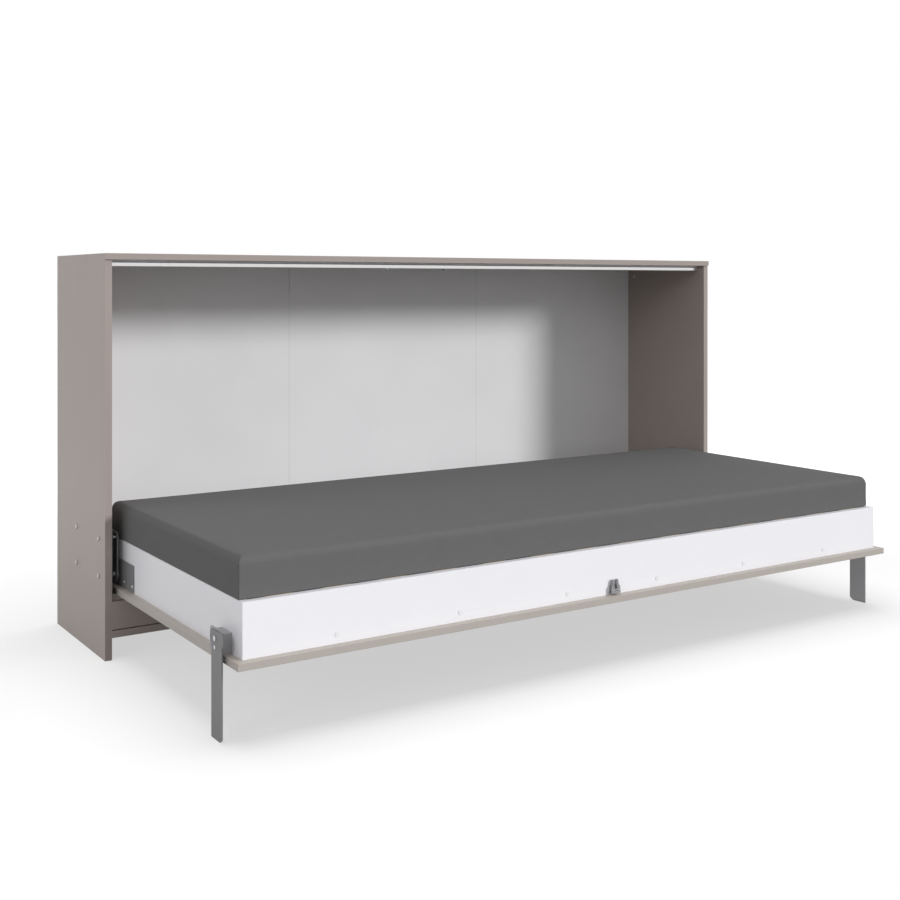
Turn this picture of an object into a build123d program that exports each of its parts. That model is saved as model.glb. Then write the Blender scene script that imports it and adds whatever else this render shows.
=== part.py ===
# Horizontal wall bed, shown open: a cabinet, the bed that folds out of it about its long side,
# two swing legs and a sprung catch. Sizes are in millimetres. X runs along the bed from left to
# right, Y from the bed's free edge to the wall, Z up. The origin is on the floor, in the middle of
# the open bed's footprint.
from build123d import *
import os

os.makedirs("parts", exist_ok=True)

# Mattress
mattress_length = 2000.0
mattress_width = 819.0
mattress_height = 91.0
mattress_top_radius = 18.0
mattress_foot_radius = 8.0
mattress_crown = 1.5
mattress_side_bow = 2.5
soft_play = 0.3

# Board thicknesses
side_thickness = 18.0
top_thickness = 16.0
shelf_thickness = 18.0
front_board_thickness = 16.0
door_thickness = 16.0
frame_thickness = 18.0
back_thickness = 4.0
stop_rail_thickness = 16.0
fixing_rail_thickness = 16.0

# Heights
door_underside = 162.5
frame_height = 119.5
shelf_underside = 56.0
stop_rail_height = 10.0
stop_batten_height = 6.6
fixing_rail_height = 90.0

# Cabinet depth, overhang and the space behind its back
cabinet_depth = 422.0
top_overhang = 5.0
stop_batten_setback = 4.0
back_to_wall = 28.0

# How the bed lies in the cabinet
mattress_end_inset = 3.2
mattress_left_shift = 5.0
mattress_rear_overlap = 10.0
door_end_ledge = 19.6
door_end_gap = 14.8
door_front_ledge = 21.4
door_rear_setback = 15.0
door_recess = 8.0
door_top_gap = 8.0
front_board_gap = 10.5
front_board_foot_gap = 3.0
stop_play = 0.5
pivot_rise = 44.0
pivot_to_frame_rear = 63.0

# Back panels
back_panel_count = 3
groove_depth = 6.0
groove_play = 0.2
strip_web = 1.2
strip_flange_width = 24.0
strip_flange_thickness = 1.2

# Cabinet fasteners
dowel_radius = 4.0
dowel_half_length = 14.0
dowel_inset = 60.0
fixing_rail_dowel_spacing = 48.0
hole_play = 0.05
cam_radius = 7.5
cam_depth = 12.5
cam_drop = 36.0
cam_first = 37.0
cam_last = 65.0
cam_bolt_radius = 3.5
cam_bolt_depth = 11.0
cam_slot_length = 8.0
cam_slot_width = 1.4
cam_slot_depth = 1.0

# Wall bracket at the top of the back
bracket_width = 44.0
bracket_leg = 20.0
bracket_sheet = 2.0
wall_screw_spacing = 26.0
wall_screw_hole_radius = 2.75
bracket_screw_radius = 2.0
bracket_screw_length = 12.0
bracket_screw_head_radius = 3.8
bracket_screw_head_height = 2.0
bracket_back_screw_drop = 13.4
bracket_back_screw_depth = 14.0

# Hinge tray on each side panel
tray_sheet = 3.0
tray_door_play = 2.0
tray_front_setback = 2.0
tray_length = 268.0
tray_below_pivot = 40.0
tray_above_bolts = 24.0
tray_corner_radius = 6.0
tray_boss_radius = 7.0
tray_boss_height = 1.5
hinge_bolt_spacing_y = 188.0
hinge_bolt_spacing_z = 96.0
hinge_bolt_radius = 3.0
hinge_bolt_head_radius = 6.5
hinge_bolt_head_height = 3.2
hinge_bolt_head_round = 1.6
hinge_bolt_in_pin = 10.0

# Pivot pin, bush and lever
pin_radius = 7.0
pin_flange_radius = 12.0
pin_flange_thickness = 3.0
pin_end_play = 1.4
running_play = 0.05
bush_wall = 2.0
hub_wall = 5.0
lever_thickness = 4.0
lever_pivot_radius = 22.0
lever_stud_radius_out = 14.0
lever_stud_forward = 10.0
lever_stud_up = 97.5
plate_thickness = 3.0

# Lifting spring and its two studs
spring_diameter = 15.0
spring_side_play = 2.0
stud_radius = 4.0
stud_head_radius = 6.0
stud_head_thickness = 2.0
anchor_behind_pivot = 203.0
anchor_above_pivot = 23.5

# Bed plates on the frame's ends
bed_plate_front_reach = 121.0
bed_plate_rear_reach = 48.0
bed_plate_height = 67.0
bed_plate_lift = 2.5
bed_plate_screw_margin = 8.0
bed_plate_screw_rise = 14.0
bed_plate_screw_pitch = 60.0
screw_radius = 2.0
screw_head_radius = 4.0
screw_head_height = 2.0
screw_depth = 14.0

# Bed frame
corner_block_size = 30.0
cleat_height = 41.0
cleat_depth = 18.0
ledger_height = 30.0
ledger_depth = 24.0
bearer_thickness = 18.0
bearer_bays = 3
slat_count = 14
slat_width = 68.0
slat_thickness = 12.0
slat_end_gap = 9.2
slat_end_play = 1.0
cap_inner_offset = 147.0
cap_middle_offset = 461.5
cap_outer_offset = 782.0
cap_radius = 5.5
cap_height = 1.0
cap_stem_radius = 2.5
cap_stem_length = 6.0

# Swing legs and their brackets
leg_thickness = 3.0
leg_front_reach = 35.5
leg_rear_reach = 19.8
leg_side_gap = 3.8
leg_head_extra = 7.0
leg_head_height = 27.0
leg_head_rise = 16.0
leg_head_round = 8.0
leg_pivot_from_frame_front = 72.0
leg_pivot_above_door = 33.5
leg_pivot_radius = 4.0
leg_stop_distance = 19.0
leg_stop_radius = 3.0
leg_stop_play = 0.3
leg_hang_angle = -90.0
leg_swing = 90.0
leg_swing_play = 2.0
leg_play = 0.3
rivet_head_radius = 6.0
rivet_head_thickness = 1.8
stop_pin_head_radius = 4.5
stop_pin_head_thickness = 1.2
leg_foot_round = 10.0
foot_height = 2.0
leg_bracket_sheet = 3.0
leg_bracket_front = 18.7
leg_bracket_rear = 34.0
leg_bracket_height = 53.5
leg_bracket_box_height = 45.0
leg_bracket_round = 6.0
leg_bracket_screw_inset = 11.0

# Catch on the front rail and its keeper behind the stop rail
catch_lift = 3.5
catch_width = 30.0
catch_top_width = 26.0
catch_depth = 10.0
catch_sheet = 2.0
catch_ear_height = 20.0
catch_slot_width = 8.0
catch_slot_floor = 12.0
jaw_height = 34.5
jaw_gap = 8.0
jaw_tip_width = 5.0
jaw_lead_in = 1.5
jaw_root_reach = 13.2
jaw_tail_floor = 4.5
jaw_tail_half_width = 3.0
jaw_shoulder = 6.0
jaw_side_play = 0.4
jaw_pivot_out = 9.0
jaw_pivot_up = 9.0
jaw_pin_radius = 2.0
catch_spring_radius = 1.8
catch_spring_up = 7.5
keeper_width = 30.0
keeper_sheet = 3.0
keeper_height = 16.0
keeper_foot = 18.0
keeper_pin_radius = 3.5
keeper_pin_setback = 12.5
keeper_pin_hold = 1.5

# Sizes and places that follow from the ones above
frame_length = mattress_length + 2 * mattress_end_inset
frame_width = mattress_width - mattress_rear_overlap + 2 * frame_thickness
door_length = frame_length + 2 * door_end_ledge
inner_width = door_length + 2 * door_end_gap
cabinet_width = inner_width + 2 * side_thickness

pivot_from_front = door_recess + pivot_rise
bed_overhang = frame_width + door_front_ledge - pivot_to_frame_rear - pivot_from_front
total_depth = bed_overhang + cabinet_depth
cabinet_rear = total_depth / 2
cabinet_front = cabinet_rear - cabinet_depth
back_face = cabinet_rear - back_to_wall - back_thickness
pivot_y = cabinet_front + pivot_from_front
frame_rear = pivot_y + pivot_to_frame_rear
frame_front = frame_rear - frame_width
door_front = frame_front - door_front_ledge
door_rear = frame_rear - door_rear_setback
mattress_mid_y = frame_front + frame_thickness + mattress_width / 2

door_top = door_underside + door_thickness
frame_top = door_top + frame_height
slat_underside = frame_top - slat_thickness
pivot_z = door_underside + pivot_rise
shelf_top = shelf_underside + shelf_thickness
side_height = pivot_z + (pivot_y - door_front) + door_top_gap

side_outer = -cabinet_width / 2
side_inner = -inner_width / 2
frame_end = -frame_length / 2
frame_inner_end = frame_end + frame_thickness
plate_face = frame_end - plate_thickness
lever_face = side_inner + tray_sheet + 2 * spring_side_play + spring_diameter
spring_x = lever_face - spring_side_play - spring_diameter / 2


def shut_y(z):
    """Depth that a height on the open bed comes to when the bed is shut."""
    return pivot_y + (z - pivot_z)


def shut_z(y):
    """Height that a depth on the open bed comes to when the bed is shut."""
    return pivot_z + (pivot_y - y)


def block(x_range, y_range, z_range, mode=Mode.ADD):
    """Add or cut a rectangular block that spans three ranges."""
    spans = (x_range, y_range, z_range)
    with Locations(tuple((low + high) / 2 for low, high in spans)):
        Box(*(abs(high - low) for low, high in spans), mode=mode)


def rod(start, end, radius, mode=Mode.ADD):
    """Add or cut a round rod between two points."""
    run = Vector(*end) - Vector(*start)
    with Locations(Plane(origin=start, z_dir=run)):
        Cylinder(radius, run.length, align=(Align.CENTER, Align.CENTER, Align.MIN), mode=mode)


def cross_rod(x_low, x_high, place, radius, mode=Mode.ADD):
    """Add or cut a round rod along X at a place given as depth and height."""
    rod((x_low, *place), (x_high, *place), radius, mode)


def save(piece, name):
    """Label a finished piece and write it."""
    piece.label = name
    export_step(piece, f"parts/{name}.step")


def save_pair(piece, name):
    """Write a left piece and its mirror image on the right."""
    save(piece, f"left_{name}")
    save(mirror(piece, about=Plane.YZ), f"right_{name}")


def save_turned_pair(piece, name, depth):
    """Write a left piece and the same piece turned round to the right about an upright line."""
    save(piece, f"left_{name}")
    save(piece.rotate(Axis((0, depth, 0), (0, 0, 1)), 180), f"right_{name}")


# Places of fasteners, as depth and height
hinge_bolt_places = [
    (pivot_y + along, pivot_z + up)
    for along in (0, hinge_bolt_spacing_y)
    for up in (0, hinge_bolt_spacing_z)
]
cam_places = [
    (y, side_height - cam_drop) for y in (cabinet_front + cam_first, cabinet_rear - cam_last)
]
cam_bolt_hole_radius = cam_bolt_radius + hole_play
stop_rail_front = shut_y(door_top) + stop_play
stop_rail_rear = stop_rail_front + stop_rail_thickness
fixing_rail_front = back_face + back_thickness
fixing_rail_rear = fixing_rail_front + fixing_rail_thickness
front_board_foot = shelf_top + front_board_foot_gap
front_board_top = shut_z(door_rear) - front_board_gap
shelf_dowels = [
    (y, shelf_underside + shelf_thickness / 2)
    for y in (cabinet_front + dowel_inset, back_face - dowel_inset)
]
front_board_dowels = [
    (cabinet_front + front_board_thickness / 2, (front_board_foot + front_board_top) / 2)
]
fixing_rail_dowels = [
    ((fixing_rail_front + fixing_rail_rear) / 2, side_height - fixing_rail_height / 2 + shift)
    for shift in (-fixing_rail_dowel_spacing / 2, fixing_rail_dowel_spacing / 2)
]
dowel_places = shelf_dowels + front_board_dowels + fixing_rail_dowels


def cut_dowel_holes(places):
    """Cut the dowel holes at both ends of the cabinet's inner width."""
    for end in (-1, 1):
        for place in places:
            middle = end * inner_width / 2
            reach = dowel_half_length + hole_play
            cross_rod(middle - reach, middle + reach, place, dowel_radius + hole_play, Mode.SUBTRACT)


# Cabinet: side panels, with their cam, bolt, dowel and groove cuts
with BuildPart() as side_panel:
    block((side_outer, side_inner), (cabinet_front, cabinet_rear), (0, side_height))
    block(
        (side_inner - groove_depth, side_inner),
        (back_face - groove_play, back_face + back_thickness + groove_play),
        (shelf_underside, side_height),
        Mode.SUBTRACT,
    )
    for place in hinge_bolt_places:
        cross_rod(side_outer, side_inner, place, hinge_bolt_radius + hole_play, Mode.SUBTRACT)
    for cam_y, cam_z in cam_places:
        cross_rod(side_inner - cam_depth, side_inner, (cam_y, cam_z), cam_radius + hole_play, Mode.SUBTRACT)
        bolt_x = (side_outer + side_inner) / 2
        rod((bolt_x, cam_y, cam_z), (bolt_x, cam_y, side_height), cam_bolt_hole_radius, Mode.SUBTRACT)
    cut_dowel_holes(dowel_places)
save_pair(side_panel.part, "side_panel")

with BuildPart() as cam_locks:
    for cam_y, cam_z in cam_places:
        cross_rod(side_inner - cam_depth, side_inner, (cam_y, cam_z), cam_radius)
    cross_slots = [(side_inner, cam_y, cam_z) for cam_y, cam_z in cam_places]
    with Locations(*cross_slots):
        Box(2 * cam_slot_depth, cam_slot_length, cam_slot_width, mode=Mode.SUBTRACT)
        Box(2 * cam_slot_depth, cam_slot_width, cam_slot_length, mode=Mode.SUBTRACT)
    mirror(about=Plane.YZ)
save(cam_locks.part, "cam_locks")

with BuildPart() as cam_bolts:
    for cam_y, cam_z in cam_places:
        bolt_x = (side_outer + side_inner) / 2
        bolt_foot = cam_z + cam_radius + hole_play
        rod((bolt_x, cam_y, bolt_foot), (bolt_x, cam_y, side_height + cam_bolt_depth), cam_bolt_radius)
    mirror(about=Plane.YZ)
save(cam_bolts.part, "cam_bolts")

with BuildPart() as panel_dowels:
    for place in dowel_places:
        cross_rod(side_inner - dowel_half_length, side_inner + dowel_half_length, place, dowel_radius)
    mirror(about=Plane.YZ)
save(panel_dowels.part, "panel_dowels")

with BuildPart() as top_panel:
    block(
        (side_outer, -side_outer),
        (cabinet_front - top_overhang, cabinet_rear),
        (side_height, side_height + top_thickness),
    )
    for end in (-1, 1):
        for cam_y, _ in cam_places:
            bolt_x = end * (side_outer + side_inner) / 2
            bolt_top = side_height + cam_bolt_depth + hole_play
            bolt_foot = (bolt_x, cam_y, side_height)
            rod(bolt_foot, (bolt_x, cam_y, bolt_top), cam_bolt_hole_radius, Mode.SUBTRACT)
    bracket_screw_places = [
        (end * wall_screw_spacing / 2, back_face - bracket_leg / 2) for end in (-1, 1)
    ]
    for screw_x, screw_y in bracket_screw_places:
        rod(
            (screw_x, screw_y, side_height),
            (screw_x, screw_y, side_height + bracket_screw_length),
            bracket_screw_radius + hole_play,
            Mode.SUBTRACT,
        )
save(top_panel.part, "top_panel")

with BuildPart() as bottom_shelf:
    block((side_inner, -side_inner), (cabinet_front, back_face), (shelf_underside, shelf_top))
    cut_dowel_holes(shelf_dowels)
save(bottom_shelf.part, "bottom_shelf")

with BuildPart() as lower_front_board:
    block(
        (side_inner, -side_inner),
        (cabinet_front, cabinet_front + front_board_thickness),
        (front_board_foot, front_board_top),
    )
    cut_dowel_holes(front_board_dowels)
save(lower_front_board.part, "lower_front_board")

# Stop for the shut door: a flat metal bar under a batten that is set back
stop_rail_top = side_height - stop_batten_height
with BuildPart() as stop_rail:
    block(
        (side_inner, -side_inner),
        (stop_rail_front, stop_rail_rear),
        (stop_rail_top - stop_rail_height, stop_rail_top),
    )
save(stop_rail.part, "stop_rail")

with BuildPart() as stop_batten:
    block(
        (side_inner, -side_inner),
        (stop_rail_front + stop_batten_setback, stop_rail_rear),
        (stop_rail_top, side_height),
    )
save(stop_batten.part, "stop_batten")

# Cabinet back: three panels in the side grooves, joined by strips, with a fixing rail behind
wall_screw_places = [end * wall_screw_spacing / 2 for end in (-1, 1)]
wall_screw_z = side_height - bracket_leg / 2 - bracket_sheet / 2
bracket_face = back_face - bracket_sheet
back_screw_z = side_height - bracket_back_screw_drop
back_screw_tip = back_face + bracket_back_screw_depth


def cut_bracket_holes():
    """Cut the bracket's own screw hole and the two wall screw holes, which go through to the wall side."""
    for screw_x in wall_screw_places:
        rod(
            (screw_x, bracket_face, wall_screw_z),
            (screw_x, fixing_rail_rear, wall_screw_z),
            wall_screw_hole_radius,
            Mode.SUBTRACT,
        )
    rod(
        (0, bracket_face, back_screw_z),
        (0, back_screw_tip + hole_play, back_screw_z),
        bracket_screw_radius + hole_play,
        Mode.SUBTRACT,
    )


with BuildPart() as fixing_rail:
    block(
        (side_inner, -side_inner),
        (fixing_rail_front, fixing_rail_rear),
        (side_height - fixing_rail_height, side_height),
    )
    cut_dowel_holes(fixing_rail_dowels)
    cut_bracket_holes()
save(fixing_rail.part, "fixing_rail")

panel_pitch = cabinet_width / back_panel_count
seam_places = [side_outer + panel_pitch * number for number in range(1, back_panel_count)]
back_end = inner_width / 2 + groove_depth - groove_play
panel_lows = [-back_end] + [seam + strip_web / 2 for seam in seam_places]
panel_highs = [seam - strip_web / 2 for seam in seam_places] + [back_end]
panel_names = ["back_panel_left", "back_panel_centre", "back_panel_right"]
for name, x_low, x_high in zip(panel_names, panel_lows, panel_highs):
    with BuildPart() as back_panel:
        block((x_low, x_high), (back_face, back_face + back_thickness), (shelf_underside, side_height))
        cut_bracket_holes()
    save(back_panel.part, name)

with BuildPart() as back_joint_strips:
    strip_rear = back_face + back_thickness
    strip_top = side_height - fixing_rail_height
    for seam in seam_places:
        strip_run = (shelf_underside, strip_top)
        block((seam - strip_web / 2, seam + strip_web / 2), (back_face, strip_rear), strip_run)
        block(
            (seam - strip_flange_width / 2, seam + strip_flange_width / 2),
            (strip_rear, strip_rear + strip_flange_thickness),
            strip_run,
        )
save(back_joint_strips.part, "back_joint_strips")

with BuildPart() as wall_bracket:
    bracket_x = (-bracket_width / 2, bracket_width / 2)
    block(bracket_x, (bracket_face, back_face), (side_height - bracket_leg, side_height))
    block(bracket_x, (back_face - bracket_leg, back_face), (side_height - bracket_sheet, side_height))
    cut_bracket_holes()
    for screw_x, screw_y in bracket_screw_places:
        rod(
            (screw_x, screw_y, side_height - bracket_sheet),
            (screw_x, screw_y, side_height),
            bracket_screw_radius + hole_play,
            Mode.SUBTRACT,
        )
save(wall_bracket.part, "wall_bracket")

with BuildPart() as wall_bracket_screws:
    for screw_x, screw_y in bracket_screw_places:
        head_top = side_height - bracket_sheet
        head_foot = head_top - bracket_screw_head_height
        rod((screw_x, screw_y, head_foot), (screw_x, screw_y, head_top), bracket_screw_head_radius)
        screw_tip = side_height + bracket_screw_length - hole_play
        rod((screw_x, screw_y, head_top), (screw_x, screw_y, screw_tip), bracket_screw_radius)
    head_front = bracket_face - bracket_screw_head_height
    rod((0, head_front, back_screw_z), (0, bracket_face, back_screw_z), bracket_screw_head_radius)
    rod((0, bracket_face, back_screw_z), (0, back_screw_tip, back_screw_z), bracket_screw_radius)
save(wall_bracket_screws.part, "wall_bracket_screws")

# Hinge trays: shallow steel trays, open at the front, that hold the pivot pin and the spring anchor
tray_edge = side_inner + door_end_gap - tray_door_play
tray_floor = side_inner + tray_sheet
tray_front = cabinet_front + tray_front_setback
tray_rear = tray_front + tray_length
tray_foot = pivot_z - tray_below_pivot
tray_head = pivot_z + hinge_bolt_spacing_z + tray_above_bolts
tray_bolt_places = hinge_bolt_places[1:]
with BuildPart() as hinge_tray:
    block((side_inner, tray_edge), (tray_front, tray_rear), (tray_foot, tray_head))
    fillet(hinge_tray.edges().filter_by(Axis.X), tray_corner_radius)
    block(
        (tray_floor, tray_edge),
        (tray_front, tray_rear - tray_sheet),
        (tray_foot + tray_sheet, tray_head - tray_sheet),
        Mode.SUBTRACT,
    )
    for place in tray_bolt_places:
        cross_rod(side_inner, tray_floor + tray_boss_height, place, tray_boss_radius)
    for place in tray_bolt_places:
        boss_top = tray_floor + tray_boss_height
        cross_rod(side_inner, boss_top, place, hinge_bolt_radius + hole_play, Mode.SUBTRACT)
    cross_rod(side_inner, tray_floor, (pivot_y, pivot_z), hinge_bolt_radius + hole_play, Mode.SUBTRACT)
save_pair(hinge_tray.part, "hinge_tray")

with BuildPart() as hinge_bolts:
    for place in hinge_bolt_places:
        shank_end = tray_floor + tray_boss_height
        if place == (pivot_y, pivot_z):
            shank_end = tray_floor + hinge_bolt_in_pin
        cross_rod(side_outer - hinge_bolt_head_height, side_outer, place, hinge_bolt_head_radius)
        cross_rod(side_outer, shank_end, place, hinge_bolt_radius)
    head_rims = hinge_bolts.edges().filter_by(GeomType.CIRCLE).group_by(Axis.X)[0]
    fillet(head_rims, hinge_bolt_head_round)
    mirror(about=Plane.YZ)
save(hinge_bolts.part, "hinge_bolts")

pin_place = (pivot_y, pivot_z)
with BuildPart() as pivot_pin:
    cross_rod(tray_floor, tray_floor + pin_flange_thickness, pin_place, pin_flange_radius)
    cross_rod(tray_floor, plate_face - pin_end_play, pin_place, pin_radius)
    thread_end = tray_floor + hinge_bolt_in_pin + hole_play
    cross_rod(tray_floor, thread_end, pin_place, hinge_bolt_radius + hole_play, Mode.SUBTRACT)
save_pair(pivot_pin.part, "pivot_pin")

# Lifting springs, stretched from a stud on the lever to an anchor in the tray
stud_place = (pivot_y - lever_stud_forward, pivot_z + lever_stud_up)
anchor_place = (pivot_y + anchor_behind_pivot, pivot_z + anchor_above_pivot)
with BuildPart() as spring_anchors:
    anchor_end = lever_face - spring_side_play
    cross_rod(tray_floor, anchor_end, anchor_place, stud_radius)
    cross_rod(anchor_end - stud_head_thickness, anchor_end, anchor_place, stud_head_radius)
    mirror(about=Plane.YZ)
save(spring_anchors.part, "spring_anchors")

with BuildPart() as lifting_spring:
    stud_point = Vector(spring_x, *stud_place)
    anchor_point = Vector(spring_x, *anchor_place)
    spring_way = (anchor_point - stud_point).normalized()
    spring_end_gap = stud_head_radius + soft_play
    spring_start = stud_point + spring_way * spring_end_gap
    spring_end = anchor_point - spring_way * spring_end_gap
    rod(tuple(spring_start), tuple(spring_end), spring_diameter / 2)
save_pair(lifting_spring.part, "lifting_spring")

# Levers, bushes and studs that turn with the bed on the pivot pins
hub_bore = pin_radius + running_play + bush_wall
with BuildPart() as lever:
    with BuildSketch(Plane.YZ.offset(lever_face)):
        with Locations(pin_place):
            Circle(lever_pivot_radius)
        with Locations(stud_place):
            Circle(lever_stud_radius_out)
        make_hull()
    extrude(amount=lever_thickness)
    cross_rod(lever_face, plate_face, pin_place, hub_bore + hub_wall)
    cross_rod(lever_face, plate_face, pin_place, hub_bore + hole_play, Mode.SUBTRACT)
    cross_rod(lever_face, lever_face + lever_thickness, stud_place, stud_radius + hole_play, Mode.SUBTRACT)
save_pair(lever.part, "lever")

with BuildPart() as pivot_bushes:
    cross_rod(lever_face, plate_face, pin_place, hub_bore)
    cross_rod(lever_face, plate_face, pin_place, pin_radius + running_play, Mode.SUBTRACT)
    mirror(about=Plane.YZ)
save(pivot_bushes.part, "pivot_bushes")

with BuildPart() as lever_studs:
    stud_end = tray_floor + spring_side_play
    cross_rod(stud_end, lever_face + lever_thickness, stud_place, stud_radius)
    cross_rod(stud_end, stud_end + stud_head_thickness, stud_place, stud_head_radius)
    mirror(about=Plane.YZ)
save(lever_studs.part, "lever_studs")

# Bed plates, screwed to the frame's end boards
bed_plate_front = pivot_y - bed_plate_front_reach
bed_plate_rear = pivot_y + bed_plate_rear_reach
bed_plate_foot = door_top + bed_plate_lift
bed_plate_head = bed_plate_foot + bed_plate_height
first_plate_screw = bed_plate_front + bed_plate_screw_margin
last_plate_screw = bed_plate_rear - bed_plate_screw_margin
low_plate_screw = bed_plate_foot + bed_plate_screw_rise
bed_plate_screw_places = [
    (first_plate_screw, low_plate_screw),
    (first_plate_screw + bed_plate_screw_pitch, low_plate_screw),
    (last_plate_screw, low_plate_screw),
    (last_plate_screw, bed_plate_head - bed_plate_screw_margin),
]


def cut_screw_holes(places, x_low, x_high):
    """Cut screw holes along X at places given as depth and height."""
    for place in places:
        cross_rod(x_low, x_high, place, screw_radius + hole_play, Mode.SUBTRACT)


def add_screws(places, face):
    """Add pan head screws whose heads lie on a face that looks to the left."""
    for place in places:
        cross_rod(face - screw_head_height, face, place, screw_head_radius)
        cross_rod(face, face + plate_thickness + screw_depth, place, screw_radius)


with BuildPart() as bed_plate:
    block((plate_face, frame_end), (bed_plate_front, bed_plate_rear), (bed_plate_foot, bed_plate_head))
    cut_screw_holes(bed_plate_screw_places, plate_face, frame_end)
save_pair(bed_plate.part, "bed_plate")

with BuildPart() as bed_plate_screws:
    add_screws(bed_plate_screw_places, plate_face)
    mirror(about=Plane.YZ)
save(bed_plate_screws.part, "bed_plate_screws")

# Leg brackets: folded boxes on the door's ledge, with a taller outer sheet that carries the leg
leg_pivot_y = frame_front + leg_pivot_from_frame_front
leg_pivot_z = door_top + leg_pivot_above_door
leg_place = (leg_pivot_y, leg_pivot_z)
stop_place = (leg_pivot_y, leg_pivot_z - leg_stop_distance)
leg_face = side_inner + leg_side_gap
leg_back = leg_face + leg_thickness
leg_bracket_face = leg_back + leg_play
leg_bracket_back = leg_bracket_face + leg_bracket_sheet
leg_bracket_y = (leg_pivot_y - leg_bracket_front, leg_pivot_y + leg_bracket_rear)
leg_bracket_head = door_top + leg_bracket_height
leg_box_head = door_top + leg_bracket_box_height
leg_bracket_screw_places = [
    (y, z)
    for y in (leg_bracket_y[0] + leg_bracket_screw_inset, leg_bracket_y[1] - leg_bracket_screw_inset)
    for z in (door_top + leg_bracket_screw_inset, leg_box_head - leg_bracket_screw_inset)
]
with BuildPart() as leg_bracket:
    block((leg_bracket_face, leg_bracket_back), leg_bracket_y, (door_top, leg_bracket_head))
    fillet(leg_bracket.edges().filter_by(Axis.X).group_by(Axis.Z)[-1], leg_bracket_round)
    block((frame_end - leg_bracket_sheet, frame_end), leg_bracket_y, (door_top, leg_box_head))
    block(
        (leg_bracket_face, frame_end),
        (leg_bracket_y[0], leg_bracket_y[0] + leg_bracket_sheet),
        (door_top, leg_box_head),
    )
    block((leg_bracket_face, frame_end), leg_bracket_y, (leg_box_head - leg_bracket_sheet, leg_box_head))
    cross_rod(leg_bracket_face, leg_bracket_back, leg_place, leg_pivot_radius + running_play, Mode.SUBTRACT)
    with BuildSketch(Plane.YZ.offset(leg_bracket_face)):
        with BuildLine() as slot_path:
            slot_swing = leg_swing + 2 * leg_swing_play
            CenterArc(leg_place, leg_stop_distance, leg_hang_angle - leg_swing_play, slot_swing)
        SlotArc(slot_path.edges()[0], 2 * (leg_stop_radius + leg_stop_play))
    extrude(amount=leg_bracket_sheet, mode=Mode.SUBTRACT)
    cut_screw_holes(leg_bracket_screw_places, frame_end - leg_bracket_sheet, frame_end)
save_pair(leg_bracket.part, "leg_bracket")

with BuildPart() as leg_bracket_screws:
    add_screws(leg_bracket_screw_places, frame_end - leg_bracket_sheet)
    mirror(about=Plane.YZ)
save(leg_bracket_screws.part, "leg_bracket_screws")

# Swing legs: flat bars with a wider head, a glide strip under the foot and two rivets. Both sides
# use the same bar, turned round on the right.
leg_y = (leg_pivot_y - leg_front_reach, leg_pivot_y + leg_rear_reach)
leg_head = leg_pivot_z + leg_head_rise
with BuildPart() as leg:
    block((leg_face, leg_back), leg_y, (foot_height, leg_head - leg_head_height))
    block(
        (leg_face, leg_back),
        (leg_y[0] - leg_head_extra, leg_y[1] + leg_head_extra),
        (leg_head - leg_head_height, leg_head),
    )
    fillet(leg.edges().filter_by(Axis.X).group_by(Axis.Z)[-1], leg_head_round)
    fillet(leg.edges().filter_by(Axis.X).group_by(Axis.Z)[0].sort_by(Axis.Y)[0], leg_foot_round)
    cross_rod(leg_face, leg_back, leg_place, leg_pivot_radius + hole_play, Mode.SUBTRACT)
    cross_rod(leg_face, leg_back, stop_place, leg_stop_radius + hole_play, Mode.SUBTRACT)
save_turned_pair(leg.part, "leg", leg_pivot_y)

with BuildPart() as leg_rivets:
    inner_head = leg_bracket_back + running_play
    cross_rod(leg_face - rivet_head_thickness, leg_face, leg_place, rivet_head_radius)
    cross_rod(leg_face, inner_head, leg_place, leg_pivot_radius)
    cross_rod(inner_head, inner_head + rivet_head_thickness, leg_place, rivet_head_radius)
    cross_rod(leg_face - stop_pin_head_thickness, leg_face, stop_place, stop_pin_head_radius)
    cross_rod(leg_face, leg_bracket_back + leg_stop_play, stop_place, leg_stop_radius)
save_pair(leg_rivets.part, "leg_rivets")

with BuildPart() as leg_foot:
    block((leg_face, leg_back), (leg_y[0] + leg_foot_round, leg_y[1]), (0, foot_height))
save_turned_pair(leg_foot.part, "leg_foot", leg_pivot_y)

# Bed frame on the door panel
with BuildPart() as door_panel:
    half_door = door_length / 2
    block((-half_door, half_door), (door_front, door_rear), (door_underside, door_top))
save(door_panel.part, "door_panel")

cap_offsets = (cap_inner_offset, cap_middle_offset, cap_outer_offset)
cap_places = [end * offset for offset in cap_offsets for end in (-1, 1)]
cap_z = door_top + cleat_height / 2
rail_inner_front = frame_front + frame_thickness
rail_inner_rear = frame_rear - frame_thickness
with BuildPart() as front_rail:
    block((frame_inner_end, -frame_inner_end), (frame_front, rail_inner_front), (door_top, frame_top))
    for cap_x in cap_places:
        stem_end = frame_front + cap_stem_length + hole_play
        stem_hole_radius = cap_stem_radius + hole_play
        rod((cap_x, frame_front, cap_z), (cap_x, stem_end, cap_z), stem_hole_radius, Mode.SUBTRACT)
save(front_rail.part, "front_rail")

with BuildPart() as rail_screw_caps:
    for cap_x in cap_places:
        rod((cap_x, frame_front - cap_height, cap_z), (cap_x, frame_front, cap_z), cap_radius)
        rod((cap_x, frame_front, cap_z), (cap_x, frame_front + cap_stem_length, cap_z), cap_stem_radius)
save(rail_screw_caps.part, "rail_screw_caps")

with BuildPart() as rear_rail:
    block((frame_end, -frame_end), (rail_inner_rear, frame_rear), (door_top, frame_top))
save(rear_rail.part, "rear_rail")

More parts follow.
